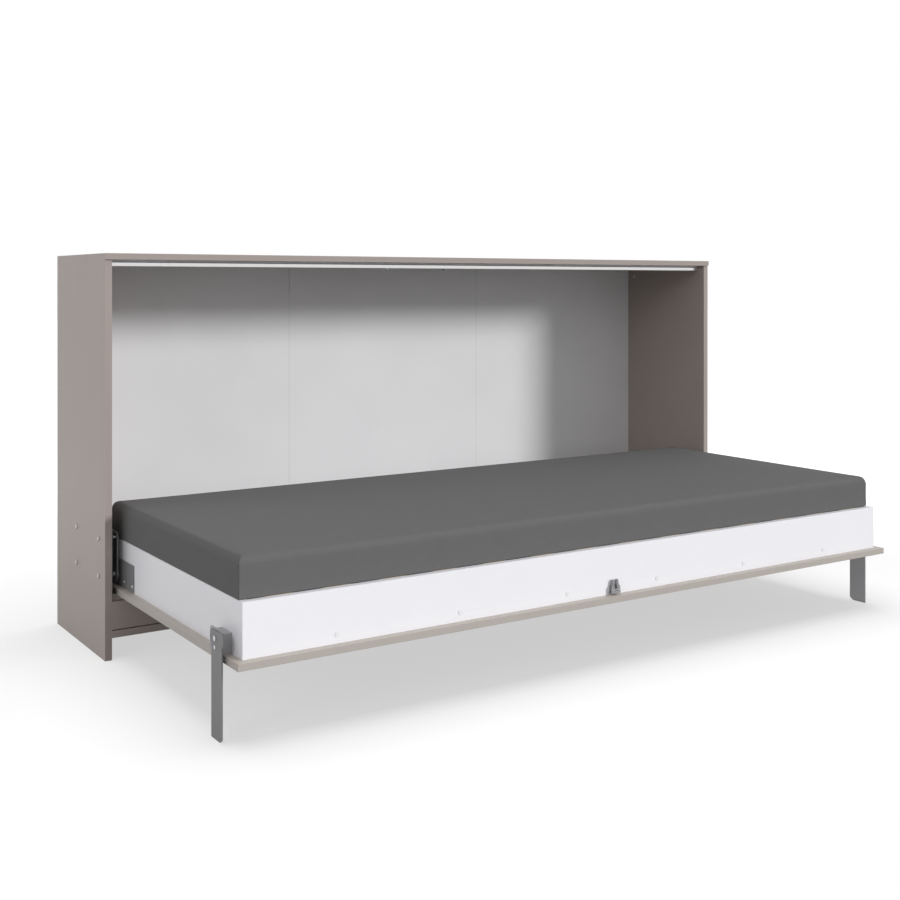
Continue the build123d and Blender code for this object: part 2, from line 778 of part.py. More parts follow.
with BuildPart() as end_board:
    block((frame_end, frame_inner_end), (frame_front, rail_inner_rear), (door_top, frame_top))
    hole_end = frame_end + screw_depth + plate_thickness
    cut_screw_holes(bed_plate_screw_places, frame_end, hole_end)
    cut_screw_holes(leg_bracket_screw_places, frame_end, hole_end)
save_pair(end_board.part, "end_board")

half_run = -frame_inner_end - corner_block_size
with BuildPart() as corner_blocks:
    for y_low in (rail_inner_front, rail_inner_rear - corner_block_size):
        block(
            (frame_inner_end, frame_inner_end + corner_block_size),
            (y_low, y_low + corner_block_size),
            (door_top, slat_underside),
        )
    mirror(about=Plane.YZ)
save(corner_blocks.part, "corner_blocks")

with BuildPart() as door_cleats:
    for y_low in (rail_inner_front, rail_inner_rear - cleat_depth):
        block((-half_run, half_run), (y_low, y_low + cleat_depth), (door_top, door_top + cleat_height))
save(door_cleats.part, "door_cleats")

with BuildPart() as slat_ledgers:
    for y_low in (rail_inner_front, rail_inner_rear - ledger_depth):
        ledger_z = (slat_underside - ledger_height, slat_underside)
        block((-half_run, half_run), (y_low, y_low + ledger_depth), ledger_z)
save(slat_ledgers.part, "slat_ledgers")

bearer_end = max(cleat_depth, ledger_depth)
bearer_places = [frame_end + frame_length / bearer_bays * number for number in range(1, bearer_bays)]
with BuildPart() as cross_bearers:
    for middle in bearer_places:
        block(
            (middle - bearer_thickness / 2, middle + bearer_thickness / 2),
            (rail_inner_front + bearer_end, rail_inner_rear - bearer_end),
            (door_top, slat_underside),
        )
save(cross_bearers.part, "cross_bearers")

first_slat = slat_end_gap + slat_width / 2 - half_run
slat_pitch = -2 * first_slat / (slat_count - 1)
with BuildPart() as slats:
    for number in range(slat_count):
        middle = first_slat + slat_pitch * number
        block(
            (middle - slat_width / 2, middle + slat_width / 2),
            (rail_inner_front + slat_end_play, rail_inner_rear - slat_end_play),
            (slat_underside, frame_top),
        )
save(slats.part, "slats")

# Mattress: a crowned block with bowed, drawn-in sides and a rounded top edge
mattress_foot = frame_top + soft_play


def cushion_section(half_width):
    """Draw the mattress section: flat foot, bowed sides, rounded top edges and a crown."""
    drawn_in = half_width - mattress_side_bow
    shoulder = mattress_height - mattress_crown - mattress_top_radius
    flat_half = drawn_in - mattress_top_radius
    foot_half = drawn_in - mattress_foot_radius
    side_middle = (mattress_foot_radius + shoulder) / 2
    with BuildLine() as outline:
        Line((-foot_half, 0), (foot_half, 0))
        CenterArc((foot_half, mattress_foot_radius), mattress_foot_radius, -90, 90)
        ThreePointArc((drawn_in, mattress_foot_radius), (half_width, side_middle), (drawn_in, shoulder))
        CenterArc((flat_half, shoulder), mattress_top_radius, 0, 90)
        crown_edge = mattress_height - mattress_crown
        ThreePointArc((flat_half, crown_edge), (0, mattress_height), (-flat_half, crown_edge))
        CenterArc((-flat_half, shoulder), mattress_top_radius, 90, 90)
        ThreePointArc((-drawn_in, shoulder), (-half_width, side_middle), (-drawn_in, mattress_foot_radius))
        CenterArc((-foot_half, mattress_foot_radius), mattress_foot_radius, 180, 90)
    make_face(outline.edges())


section_origin = (-mattress_left_shift, mattress_mid_y, mattress_foot)
with BuildPart() as mattress:
    with BuildSketch(Plane(origin=section_origin, x_dir=(1, 0, 0), z_dir=(0, -1, 0))):
        cushion_section(mattress_length / 2)
    extrude(amount=mattress_width, both=True)
    with BuildSketch(Plane(origin=section_origin, x_dir=(0, 1, 0), z_dir=(1, 0, 0))):
        cushion_section(mattress_width / 2)
    extrude(amount=mattress_length, both=True, mode=Mode.INTERSECT)
save(mattress.part, "mattress")

# Catch: a folded body on the front rail, two sprung jaws on pins, and the keeper they close on
catch_rear = frame_front
catch_front = catch_rear - catch_depth
jaw_front = catch_front + catch_sheet + jaw_side_play
jaw_rear = catch_rear - catch_sheet - jaw_side_play
catch_foot = door_top + catch_lift
jaw_pivot_z = catch_foot + jaw_pivot_up
catch_base_top = catch_foot + catch_sheet
catch_plane = Plane(origin=(0, catch_rear, catch_foot), x_dir=(1, 0, 0), z_dir=(0, -1, 0))
with BuildPart() as catch_body:
    with BuildSketch(catch_plane):
        with BuildLine():
            Polyline(
                (-catch_width / 2, 0),
                (catch_width / 2, 0),
                (catch_width / 2, catch_sheet),
                (catch_top_width / 2, catch_ear_height),
                (-catch_top_width / 2, catch_ear_height),
                (-catch_width / 2, catch_sheet),
                close=True,
            )
        make_face()
    extrude(amount=catch_depth)
    half_catch = catch_width / 2
    half_slot = catch_slot_width / 2
    ear_top = catch_foot + catch_ear_height
    ear_gap = (catch_front + catch_sheet, catch_rear - catch_sheet)
    block((-half_catch, half_catch), ear_gap, (catch_base_top, ear_top), Mode.SUBTRACT)
    slot_z = (catch_foot + catch_slot_floor, ear_top)
    block((-half_slot, half_slot), (catch_front, catch_rear), slot_z, Mode.SUBTRACT)
    for end in (-1, 1):
        pin_x = end * jaw_pivot_out
        pin_hole_radius = jaw_pin_radius + hole_play
        pin_front = (pin_x, catch_front, jaw_pivot_z)
        rod(pin_front, (pin_x, catch_rear, jaw_pivot_z), pin_hole_radius, Mode.SUBTRACT)
save(catch_body.part, "catch_body")

with BuildPart() as catch_pins:
    for end in (-1, 1):
        pin_x = end * jaw_pivot_out
        rod((pin_x, catch_front, jaw_pivot_z), (pin_x, catch_rear, jaw_pivot_z), jaw_pin_radius)
save(catch_pins.part, "catch_pins")

jaw_plane = Plane(origin=(0, jaw_rear, catch_foot), x_dir=(1, 0, 0), z_dir=(0, -1, 0))
half_gap = jaw_gap / 2
with BuildPart() as jaw:
    with BuildSketch(jaw_plane):
        with BuildLine():
            Polyline(
                (-half_gap, jaw_shoulder),
                (-half_gap, jaw_height - jaw_lead_in),
                (-half_gap - jaw_lead_in, jaw_height),
                (-half_gap - jaw_tip_width, jaw_height),
                (-jaw_root_reach, jaw_pivot_up),
                (-jaw_pivot_out - jaw_tail_half_width, jaw_tail_floor),
                (-jaw_pivot_out + jaw_tail_half_width, jaw_tail_floor),
                close=True,
            )
        make_face()
    extrude(amount=jaw_rear - jaw_front)
    rod(
        (-jaw_pivot_out, jaw_front, jaw_pivot_z),
        (-jaw_pivot_out, jaw_rear, jaw_pivot_z),
        jaw_pin_radius + running_play,
        Mode.SUBTRACT,
    )
save_pair(jaw.part, "catch_jaw")

with BuildPart() as catch_spring:
    spring_place = ((jaw_front + jaw_rear) / 2, catch_foot + catch_spring_up)
    cross_rod(-half_gap + soft_play, half_gap - soft_play, spring_place, catch_spring_radius)
save(catch_spring.part, "catch_spring")

keeper_pin_y = stop_rail_rear + keeper_pin_setback
keeper_pin_foot = shut_z(jaw_front) - keeper_pin_hold
keeper_underside = side_height - keeper_sheet
with BuildPart() as catch_keeper:
    keeper_x = (-keeper_width / 2, keeper_width / 2)
    block(
        keeper_x,
        (stop_rail_rear, stop_rail_rear + keeper_sheet),
        (side_height - keeper_height, side_height),
    )
    block(keeper_x, (stop_rail_rear, stop_rail_rear + keeper_foot), (keeper_underside, side_height))
    rod((0, keeper_pin_y, keeper_pin_foot), (0, keeper_pin_y, keeper_underside), keeper_pin_radius)
save(catch_keeper.part, "catch_keeper")
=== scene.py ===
"""Looks of a horizontal wall bed: its finishes, the soft mattress, the wound springs and a plain studio."""
import logging
import math
from abc import ABC, abstractmethod
from collections.abc import Iterable, Sequence
from dataclasses import dataclass, field
from enum import Enum
from typing import Any

import bmesh
import bpy
import numpy as np
from mathutils import Matrix, Vector


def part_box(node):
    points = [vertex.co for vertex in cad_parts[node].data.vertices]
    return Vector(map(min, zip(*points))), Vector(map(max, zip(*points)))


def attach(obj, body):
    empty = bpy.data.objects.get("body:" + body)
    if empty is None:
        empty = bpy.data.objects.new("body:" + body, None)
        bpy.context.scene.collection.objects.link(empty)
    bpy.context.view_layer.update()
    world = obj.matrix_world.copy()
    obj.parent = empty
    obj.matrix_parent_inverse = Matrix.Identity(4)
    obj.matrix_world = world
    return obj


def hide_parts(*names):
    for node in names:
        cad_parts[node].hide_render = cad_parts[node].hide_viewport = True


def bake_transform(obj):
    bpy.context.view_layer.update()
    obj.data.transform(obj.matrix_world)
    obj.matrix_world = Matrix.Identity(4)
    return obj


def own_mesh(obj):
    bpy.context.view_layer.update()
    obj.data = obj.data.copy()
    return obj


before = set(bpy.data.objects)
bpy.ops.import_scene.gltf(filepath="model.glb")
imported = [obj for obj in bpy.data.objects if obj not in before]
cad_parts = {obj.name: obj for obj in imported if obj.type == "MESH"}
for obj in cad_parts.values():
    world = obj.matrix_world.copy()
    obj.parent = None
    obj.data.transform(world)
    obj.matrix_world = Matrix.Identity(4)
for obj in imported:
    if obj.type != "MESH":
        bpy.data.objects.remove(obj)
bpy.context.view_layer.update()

LOG = logging.getLogger("wall_bed")
MM = 0.001
WAVE_PERIOD = 2 * math.pi / 20  # length of one band of Blender's wave texture at a scale of 1
WELD_GAP = 0.01 * MM  # mesh points closer than this are one point
SHARP_ANGLE = math.radians(40)  # an edge that turns further than this is sharp
FACING = 0.7  # share of the normal along an axis from which a face counts as facing that axis

Point = tuple[float, float, float]
Faces = list[tuple[int, ...]]
Sockets = tuple[bpy.types.NodeSocket, bpy.types.NodeSocket]


class Side(Enum):
    """The bed's two ends."""

    LEFT = "left"
    RIGHT = "right"


class Grain(Enum):
    """Direction in which a wooden piece's grain runs, as the axis that is stretched."""

    ALONG_BED = 0
    ACROSS_BED = 1


# Shared helpers


def linear(hex_colour: str) -> tuple[float, float, float, float]:
    """Turn an sRGB hex colour into linear light.

    Args:
        hex_colour: six hex digits after a hash sign.

    Returns:
        Linear red, green, blue and full alpha.
    """
    shares = (int(hex_colour[place:place + 2], 16) / 255 for place in (1, 3, 5))
    red, green, blue = (
        share / 12.92 if share <= 0.04045 else ((share + 0.055) / 1.055) ** 2.4 for share in shares
    )
    return red, green, blue, 1.0


def add_node(
    tree: bpy.types.NodeTree,
    kind: str,
    settings: dict[str | int, Any],
    links: dict[str | int, bpy.types.NodeSocket] | None = None,
) -> bpy.types.Node:
    """Add a shader node with its settings and links.

    Args:
        tree: node tree that takes the node.
        kind: Blender's type name of the node.
        settings: values of the node's own properties and of its input sockets, by name or number.
        links: output sockets that feed the node's inputs, by the input's name or number.

    Returns:
        The new node.
    """
    node = tree.nodes.new(kind)
    for key, value in settings.items():
        if isinstance(key, str) and hasattr(node, key):
            setattr(node, key, value)
        else:
            node.inputs[key].default_value = value
    for key, socket in (links or {}).items():
        tree.links.new(socket, node.inputs[key])
    return node


def mesh_piece(name: str, vertices: Iterable[Sequence[float]], faces: Faces) -> bpy.types.Object:
    """Make a smooth mesh object in the scene.

    Args:
        name: name of the piece.
        vertices: points in the row frame, in metres.
        faces: corner numbers of each face.

    Returns:
        The new object.
    """
    mesh = bpy.data.meshes.new(name)
    mesh.from_pydata([tuple(vertex) for vertex in vertices], [], faces)
    mesh.validate()
    mesh.shade_smooth()
    piece = bpy.data.objects.new(name, mesh)
    bpy.context.scene.collection.objects.link(piece)
    return piece


def tube(path: Sequence[Vector], radius: float, sides: int) -> tuple[list[Vector], Faces]:
    """Sweep a round wire along a path.

    Args:
        path: points of the wire's middle line.
        radius: radius of the wire.
        sides: number of corners round the wire.

    Returns:
        The wire's points and faces, with closed ends.
    """
    vertices: list[Vector] = []
    across = (path[1] - path[0]).orthogonal().normalized()
    for number, point in enumerate(path):
        before = path[max(number - 1, 0)]
        after = path[min(number + 1, len(path) - 1)]
        ahead = (after - before).normalized()
        across = (across - ahead * across.dot(ahead)).normalized()
        beside = ahead.cross(across)
        for step in range(sides):
            angle = 2 * math.pi * step / sides
            vertices.append(point + (across * math.cos(angle) + beside * math.sin(angle)) * radius)
    faces: Faces = []
    for ring in range(len(path) - 1):
        for step in range(sides):
            low, high = ring * sides + step, ring * sides + (step + 1) % sides
            faces.append((low, high, high + sides, low + sides))
    faces.append(tuple(reversed(range(sides))))
    faces.append(tuple(range((len(path) - 1) * sides, len(path) * sides)))
    return vertices, faces


def solid_boxes(node: str) -> list[tuple[Vector, Vector]]:
    """Find where the separate solids of a CAD node are.

    Args:
        node: name of the CAD node.

    Returns:
        Lowest and highest corner of each solid.
    """
    work = bmesh.new()
    work.from_mesh(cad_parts[node].data)
    bmesh.ops.remove_doubles(work, verts=work.verts, dist=WELD_GAP)
    waiting = set(work.verts)
    boxes = []
    while waiting:
        group, front = [], [waiting.pop()]
        while front:
            vertex = front.pop()
            group.append(vertex.co.copy())
            near = {edge.other_vert(vertex) for edge in vertex.link_edges} & waiting
            waiting -= near
            front.extend(near)
        boxes.append((Vector(map(min, *group)), Vector(map(max, *group))))
    work.free()
    return sorted(boxes, key=lambda box: tuple(box[0]))


def soften(nodes: Iterable[str], width: float) -> None:
    """Round the sharp edges of CAD pieces a little, so that they catch the light.

    Args:
        nodes: names of the CAD nodes.
        width: width of the rounding, in millimetres.
    """
    for node in nodes:
        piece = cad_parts[node]
        weld = piece.modifiers.new("weld", "WELD")
        weld.merge_threshold = WELD_GAP
        bevel = piece.modifiers.new("edge_round", "BEVEL")
        bevel.width = width * MM
        bevel.segments = 2
        bevel.limit_method = "ANGLE"
        bevel.angle_limit = SHARP_ANGLE
        bevel.harden_normals = True


def dress(nodes: Iterable[str], finish: "Finish") -> None:
    """Give CAD pieces a finish.

    Args:
        nodes: names of the CAD nodes.
        finish: finish that they get.
    """
    material = finish.material()
    for node in nodes:
        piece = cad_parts[node]
        for place in piece.material_slots:
            place.material = material
        if not piece.material_slots:
            piece.data.materials.append(material)
        LOG.info("%s: %s", node, finish.name)


# Finishes


@dataclass(frozen=True)
class Finish(ABC):
    """A surface: two close tones, a roughness that varies a little, and a fine relief.

    Attributes:
        name: what the material is and how its surface was made.
        colour: main sRGB colour.
        deep_colour: second sRGB colour, into which the pattern turns.
        roughness: middle roughness.
        roughness_spread: how far the roughness varies to each side.
        relief: height of the surface's relief, in millimetres.
        metallic: 1 for bare or plated metal.
    """

    name: str
    colour: str
    deep_colour: str
    roughness: float
    roughness_spread: float
    relief: float
    metallic: float = 0.0

    @abstractmethod
    def pattern(self, tree: bpy.types.NodeTree, place: bpy.types.Node) -> Sockets:
        """Draw the finish's pattern.

        Args:
            tree: node tree of the material.
            place: texture coordinate node.

        Returns:
            Sockets for the tone and for the relief, both from 0 to 1.
        """

    def mix_colour(
        self, tree: bpy.types.NodeTree, place: bpy.types.Node, tone: bpy.types.NodeSocket
    ) -> bpy.types.NodeSocket:
        """Mix the two tones by the pattern.

        Args:
            tree: node tree of the material.
            place: texture coordinate node.
            tone: pattern from 0 to 1.

        Returns:
            Socket with the colour.
        """
        return add_node(
            tree,
            "ShaderNodeMix",
            {"data_type": "RGBA", 6: linear(self.colour), 7: linear(self.deep_colour)},
            {0: tone},
        ).outputs[2]

    def settle(self, shader: bpy.types.Node) -> None:
        """Set what is the same all over the surface."""
        shader.inputs["Metallic"].default_value = self.metallic

    def material(self) -> bpy.types.Material:
        """Make the material, or find it if it is made already.

        Returns:
            The material.
        """
        found = bpy.data.materials.get(self.name)
        if found:
            return found
        material = bpy.data.materials.new(self.name)
        material.use_nodes = True
        tree = material.node_tree
        shader = next(node for node in tree.nodes if node.type == "BSDF_PRINCIPLED")
        place = add_node(tree, "ShaderNodeTexCoord", {})
        tone, height = self.pattern(tree, place)
        gloss = add_node(
            tree,
            "ShaderNodeMapRange",
            {
                "To Min": self.roughness - self.roughness_spread,
                "To Max": self.roughness + self.roughness_spread,
            },
            {"Value": height},
        )
        bump = add_node(
            tree, "ShaderNodeBump", {"Strength": 1.0, "Distance": self.relief * MM}, {"Height": height}
        )
        tree.links.new(self.mix_colour(tree, place, tone), shader.inputs["Base Color"])
        tree.links.new(gloss.outputs["Result"], shader.inputs["Roughness"])
        tree.links.new(bump.outputs["Normal"], shader.inputs["Normal"])
        self.settle(shader)
        return material


@dataclass(frozen=True)
class Grained(Finish):
    """A surface of even grains, such as a pressed laminate, a powder coat or a moulded face.

    Attributes:
        cloud: size of the slow changes of tone, in millimetres.
        grain: size of the grains, in millimetres.
    """

    cloud: float = 300.0
    grain: float = 3.0

    def pattern(self, tree: bpy.types.NodeTree, place: bpy.types.Node) -> Sockets:
        """Draw slow clouds for the tone and fine grains for the relief.

        Args:
            tree: node tree of the material.
            place: texture coordinate node.

        Returns:
            Sockets for the tone and for the relief.
        """
        clouds, grains = (
            add_node(
                tree,
                "ShaderNodeTexNoise",
                {"Scale": 1 / (size * MM), "Detail": detail},
                {"Vector": place.outputs["Object"]},
            )
            for size, detail in ((self.cloud, 4.0), (self.grain, 2.0))
        )
        return clouds.outputs["Fac"], grains.outputs["Fac"]


@dataclass(frozen=True)
class UpperFaceLit(Grained):
    """A faced board whose face that points up gets a paler colour, as painted light from above.

    Attributes:
        upper_lit_colour: sRGB colour of the upper face.
    """

    upper_lit_colour: str = "#FFFFFF"

    def mix_colour(
        self, tree: bpy.types.NodeTree, place: bpy.types.Node, tone: bpy.types.NodeSocket
    ) -> bpy.types.NodeSocket:
        """Lay a paler colour, as painted light from above, where the board faces up when the bed is open.

        Args:
            tree: node tree of the material.
            place: texture coordinate node.
            tone: pattern from 0 to 1.

        Returns:
            Socket with the colour.
        """
        facing = add_node(tree, "ShaderNodeSeparateXYZ", {}, {0: place.outputs["Normal"]}).outputs["Z"]
        # painted light: the face that points up gets the paler colour, as if lit from above
        upper = add_node(tree, "ShaderNodeMath", {"operation": "GREATER_THAN", 1: FACING}, {0: facing})
        return add_node(
            tree,
            "ShaderNodeMix",
            {"data_type": "RGBA", 7: linear(self.upper_lit_colour)},
            {0: upper.outputs[0], 6: super().mix_colour(tree, place, tone)},
        ).outputs[2]


@dataclass(frozen=True)
class Plated(Finish):
    """A plated metal with faint crystals.

    Attributes:
        metallic: 1, as the plate is metal.
        crystal: size of a crystal, in millimetres.
        scratch: spacing of the fine marks, in millimetres.
    """

    metallic: float = 1.0
    crystal: float = 2.5
    scratch: float = 0.8

    def pattern(self, tree: bpy.types.NodeTree, place: bpy.types.Node) -> Sockets:
        """Draw crystals for the tone and fine marks for the relief.

        Args:
            tree: node tree of the material.
            place: texture coordinate node.

        Returns:
            Sockets for the tone and for the relief.
        """
        crystals = add_node(
            tree,
            "ShaderNodeTexVoronoi",
            {"Scale": 1 / (self.crystal * MM)},
            {"Vector": place.outputs["Object"]},
        )
        marks = add_node(
            tree,
            "ShaderNodeTexNoise",
            {"Scale": 1 / (self.scratch * MM), "Detail": 3.0},
            {"Vector": place.outputs["Object"]},
        )
        return crystals.outputs["Distance"], marks.outputs["Fac"]


@dataclass(frozen=True)
class Sawn(Finish):
    """Planed wood with long grain.

    Attributes:
        ring: spacing of the growth rings across the face, in millimetres.
        stretch: how many times longer than wide the grain is.
        grain: direction of the grain.
    """

    ring: float = 9.0
    stretch: float = 18.0
    grain: Grain = Grain.ALONG_BED

    def pattern(self, tree: bpy.types.NodeTree, place: bpy.types.Node) -> Sockets:
        """Draw wavering growth rings for the tone and fibres for the relief.

        Args:
            tree: node tree of the material.
            place: texture coordinate node.

        Returns:
            Sockets for the tone and for the relief.
        """
        scale = [1.0, 1.0, 1.0]
        scale[self.grain.value] = 1 / self.stretch
        drawn_out = add_node(
            tree, "ShaderNodeMapping", {"Scale": scale}, {"Vector": place.outputs["Object"]}
        )
        rings = add_node(
            tree,
            "ShaderNodeTexWave",
            {
                "bands_direction": "DIAGONAL", "Scale": WAVE_PERIOD / (self.ring * MM),
                "Distortion": 5.0, "Detail": 3.0,
            },
            {"Vector": drawn_out.outputs["Vector"]},
        )
        fibres = add_node(
            tree,
            "ShaderNodeTexNoise",
            {"Scale": 4 / (self.ring * MM), "Detail": 4.0},
            {"Vector": drawn_out.outputs["Vector"]},
        )
        return rings.outputs["Fac"], fibres.outputs["Fac"]


@dataclass(frozen=True)
class Woven(Finish):
    """A plain weave of spun threads.

    Attributes:
        thread: spacing of the threads, in millimetres.
        slub: length of the thick and thin places in the threads, in millimetres.
        weave_share: how much of the tone comes from the threads, the rest from the slubs.
        fuzz: strength of the loose fibres' sheen.
    """

    thread: float = 5.0
    slub: float = 60.0
    weave_share: float = 0.35
    fuzz: float = 0.02

    def settle(self, shader: bpy.types.Node) -> None:
        """Add the sheen of loose fibres.

        Args:
            shader: surface shader of the material.
        """
        super().settle(shader)
        shader.inputs["Sheen Weight"].default_value = self.fuzz
        shader.inputs["Sheen Roughness"].default_value = 0.6
        shader.inputs["Specular IOR Level"].default_value = 0.1

    def pattern(self, tree: bpy.types.NodeTree, place: bpy.types.Node) -> Sockets:
        """Draw threads that pass over and under each other, laid flat on each of the cover's faces.

        Args:
            tree: node tree of the material.
            place: texture coordinate node.

        Returns:
            Sockets for the tone and for the relief.
        """
        where = add_node(tree, "ShaderNodeSeparateXYZ", {}, {0: place.outputs["Object"]}).outputs
        facing = add_node(tree, "ShaderNodeSeparateXYZ", {}, {0: place.outputs["Normal"]}).outputs
        on_face = {}
        for axis in ("X", "Z"):
            size = add_node(tree, "ShaderNodeMath", {"operation": "ABSOLUTE"}, {0: facing[axis]})
            on_face[axis] = add_node(
                tree, "ShaderNodeMath", {"operation": "GREATER_THAN", 1: FACING}, {0: size.outputs[0]}
            ).outputs[0]
        along = add_node(tree, "ShaderNodeMix", {}, {0: on_face["X"], 2: where["X"], 3: where["Y"]})
        across = add_node(tree, "ShaderNodeMix", {}, {0: on_face["Z"], 2: where["Z"], 3: where["Y"]})
        flat = add_node(
            tree, "ShaderNodeCombineXYZ", {}, {"X": along.outputs[0], "Y": across.outputs[0]}
        ).outputs[0]
        warp, weft = (
            add_node(
                tree,
                "ShaderNodeTexWave",
                {"bands_direction": direction, "Scale": WAVE_PERIOD / (self.thread * MM)},
                {"Vector": flat},
            ).outputs["Fac"]
            for direction in ("X", "Y")
        )
        over = add_node(
            tree, "ShaderNodeTexChecker", {"Scale": 1 / (self.thread * MM)}, {"Vector": flat}
        ).outputs["Fac"]
        weave = add_node(tree, "ShaderNodeMix", {}, {0: over, 2: warp, 3: weft}).outputs[0]
        slubs = add_node(
            tree,
            "ShaderNodeTexNoise",
            {"Scale": 1 / (self.slub * MM), "Detail": 6.0, "Roughness": 0.7},
            {"Vector": flat},
        ).outputs["Fac"]
        tone = add_node(tree, "ShaderNodeMix", {0: self.weave_share}, {2: slubs, 3: weave}).outputs[0]
        return tone, weave


# Melamine-faced chipboard, pressed on a pearl plate: an even satin sheet whose fine grain breaks up
# highlights. The real grain is about 0.5 mm; it is drawn coarser so that it shows.
TAUPE_BOARD = Grained(
    name="melamine_faced_chipboard_taupe", colour="#A69B96", deep_colour="#9E938E",
    roughness=0.45, roughness_spread=0.06, relief=0.04, cloud=240.0, grain=2.5,
)
# The same board for the folding door: its edging and its outer face are a little paler than the cabinet,
# partly as painted light for the stronger light on the door, and its inner face, which faces up when the bed
# is open, is paler still as painted light from above.
DOOR_BOARD = UpperFaceLit(
    name="melamine_faced_chipboard_two_sided", colour="#B3ACA6", deep_colour="#ABA49E",
    roughness=0.45, roughness_spread=0.06, relief=0.04, cloud=240.0, grain=2.5, upper_lit_colour="#BAB2AA",
)
# The same board in white: cooler, and a little smoother to the eye.
WHITE_BOARD = Grained(
    name="melamine_faced_chipboard_white", colour="#F3F3F7", deep_colour="#ECECF1",
    roughness=0.42, roughness_spread=0.05, relief=0.03, cloud=260.0, grain=2.5,
)
# Lacquered hardboard, rolled: thin and pale, with a wider, softer unevenness than the faced boards.
BACK_BOARD = Grained(
    name="lacquered_hardboard_white", colour="#EDEDEE", deep_colour="#E4E4E6",
    roughness=0.55, roughness_spread=0.06, relief=0.06, cloud=180.0, grain=4.0,
)
# Black powder coat on pressed steel: deep, with the small dimples of a baked coat.
BLACK_COAT = Grained(
    name="powder_coated_steel_black", colour="#0D0C0B", deep_colour="#090808",
    roughness=0.5, roughness_spread=0.08, relief=0.05, cloud=40.0, grain=1.6,
)
# Grey powder coat on the legs, levers and hinge plates: even, half matt, with faint baked dimples.
GREY_COAT = Grained(
    name="powder_coated_steel_grey", colour="#7F7F81", deep_colour="#757577",
    roughness=0.48, roughness_spread=0.08, relief=0.04, cloud=50.0, grain=1.6,
)
# Paler and smoother coat of the pressed catch.
CATCH_COAT = Grained(
    name="powder_coated_steel_mid_grey", colour="#97979A", deep_colour="#8D8D90",
    roughness=0.42, roughness_spread=0.06, relief=0.03, cloud=20.0, grain=1.2,
)
# Lighter coat of the folded leg brackets and the catch keeper; on the brackets it is partly painted light,
# made paler for the fill light that the leg's shadow keeps off them.
PALE_COAT = Grained(
    name="powder_coated_steel_pale_grey", colour="#ABABAD", deep_colour="#A1A1A3",
    roughness=0.46, roughness_spread=0.08, relief=0.04, cloud=40.0, grain=1.6,
)
# White powder coat of the small wall bracket.
WHITE_COAT = Grained(
    name="powder_coated_steel_white", colour="#F2F2F2", deep_colour="#EAEAEA",
    roughness=0.45, roughness_spread=0.06, relief=0.03, cloud=20.0, grain=1.6,
)
# Injection-moulded ABS: smooth, with the fine spark texture of its mould.
WHITE_ABS = Grained(
    name="moulded_abs_white", colour="#EDEDEF", deep_colour="#E5E5E8",
    roughness=0.4, roughness_spread=0.05, relief=0.02, cloud=15.0, grain=1.0,
)
# Extruded PVC of the strips between the back's panels: greyer than the panels, so that the joint shows.
GREY_PVC = Grained(
    name="extruded_pvc_pale_grey", colour="#CECED0", deep_colour="#C6C6C8",
    roughness=0.45, roughness_spread=0.05, relief=0.02, cloud=40.0, grain=1.5,
)
# Injection-moulded nylon of the leg's glides: grey, with a dull skin.
GREY_NYLON = Grained(
    name="moulded_nylon_grey", colour="#7A7A7B", deep_colour="#707071",
    roughness=0.55, roughness_spread=0.06, relief=0.04, cloud=15.0, grain=1.0,
)
# Zinc plate on fasteners: bright, with faint crystals and fine tumbling marks.
ZINC_PLATE = Plated(
    name="zinc_plated_steel", colour="#D2D4D6", deep_colour="#AEB1B4",
    roughness=0.34, roughness_spread=0.08, relief=0.01,
)
# Passivated zinc on the hinge bolts: duller and warmer than the bright plate.
DULL_ZINC = Plated(
    name="passivated_zinc_steel", colour="#B4B1AE", deep_colour="#A29F9C",
    roughness=0.5, roughness_spread=0.08, relief=0.01,
)
# Anodised aluminium, extruded: pale, with a soft reflection of the room along its length.
ANODISED_BAR = Plated(
    name="anodised_aluminium", colour="#DEDDDC", deep_colour="#D6D5D4",
    roughness=0.2, roughness_spread=0.03, relief=0.005, crystal=3.0,
)
# Drawn and oil-blackened spring wire: dark, with a soft shine along each turn.
SPRING_WIRE = Plated(
    name="oil_blackened_spring_steel", colour="#55565A", deep_colour="#3C3D40",
    roughness=0.36, roughness_spread=0.06, relief=0.01, crystal=6.0,
)
# Sintered bronze: a dull gold with open pores.
BRONZE = Plated(
    name="sintered_bronze", colour="#B08D57", deep_colour="#8C6C3E",
    roughness=0.5, roughness_spread=0.1, relief=0.03, crystal=1.0,
)
# Planed spruce: pale yellow with clear growth rings.
SPRUCE = Sawn(
    name="planed_spruce", colour="#D8B98A", deep_colour="#C39F6C",
    roughness=0.62, roughness_spread=0.08, relief=0.08,
)
# Birch veneer glued up into sprung slats: fine and nearly even.
BIRCH = Sawn(
    name="laminated_birch", colour="#DFC69C", deep_colour="#D2B485",
    roughness=0.45, roughness_spread=0.06, relief=0.04, ring=5.0, grain=Grain.ACROSS_BED,
)
# Plain woven polyester cover: dark grey and matt, with a soft sheen at low angles. The real threads
# are about 1 mm apart; they are drawn coarser so that they show.
MATTRESS_COVER = Woven(
    name="woven_polyester_dark_grey", colour="#6D6D6D", deep_colour="#646464",
    roughness=0.86, roughness_spread=0.06, relief=0.12,
)
# Folded and sewn edge of the same cover: its threads lie closer, so that it looks darker.
COVER_SEAM = Woven(
    name="sewn_polyester_dark_grey", colour="#676767", deep_colour="#5C5C5C",
    roughness=0.9, roughness_spread=0.05, relief=0.15, thread=2.5,
)


# The object's sub-assemblies


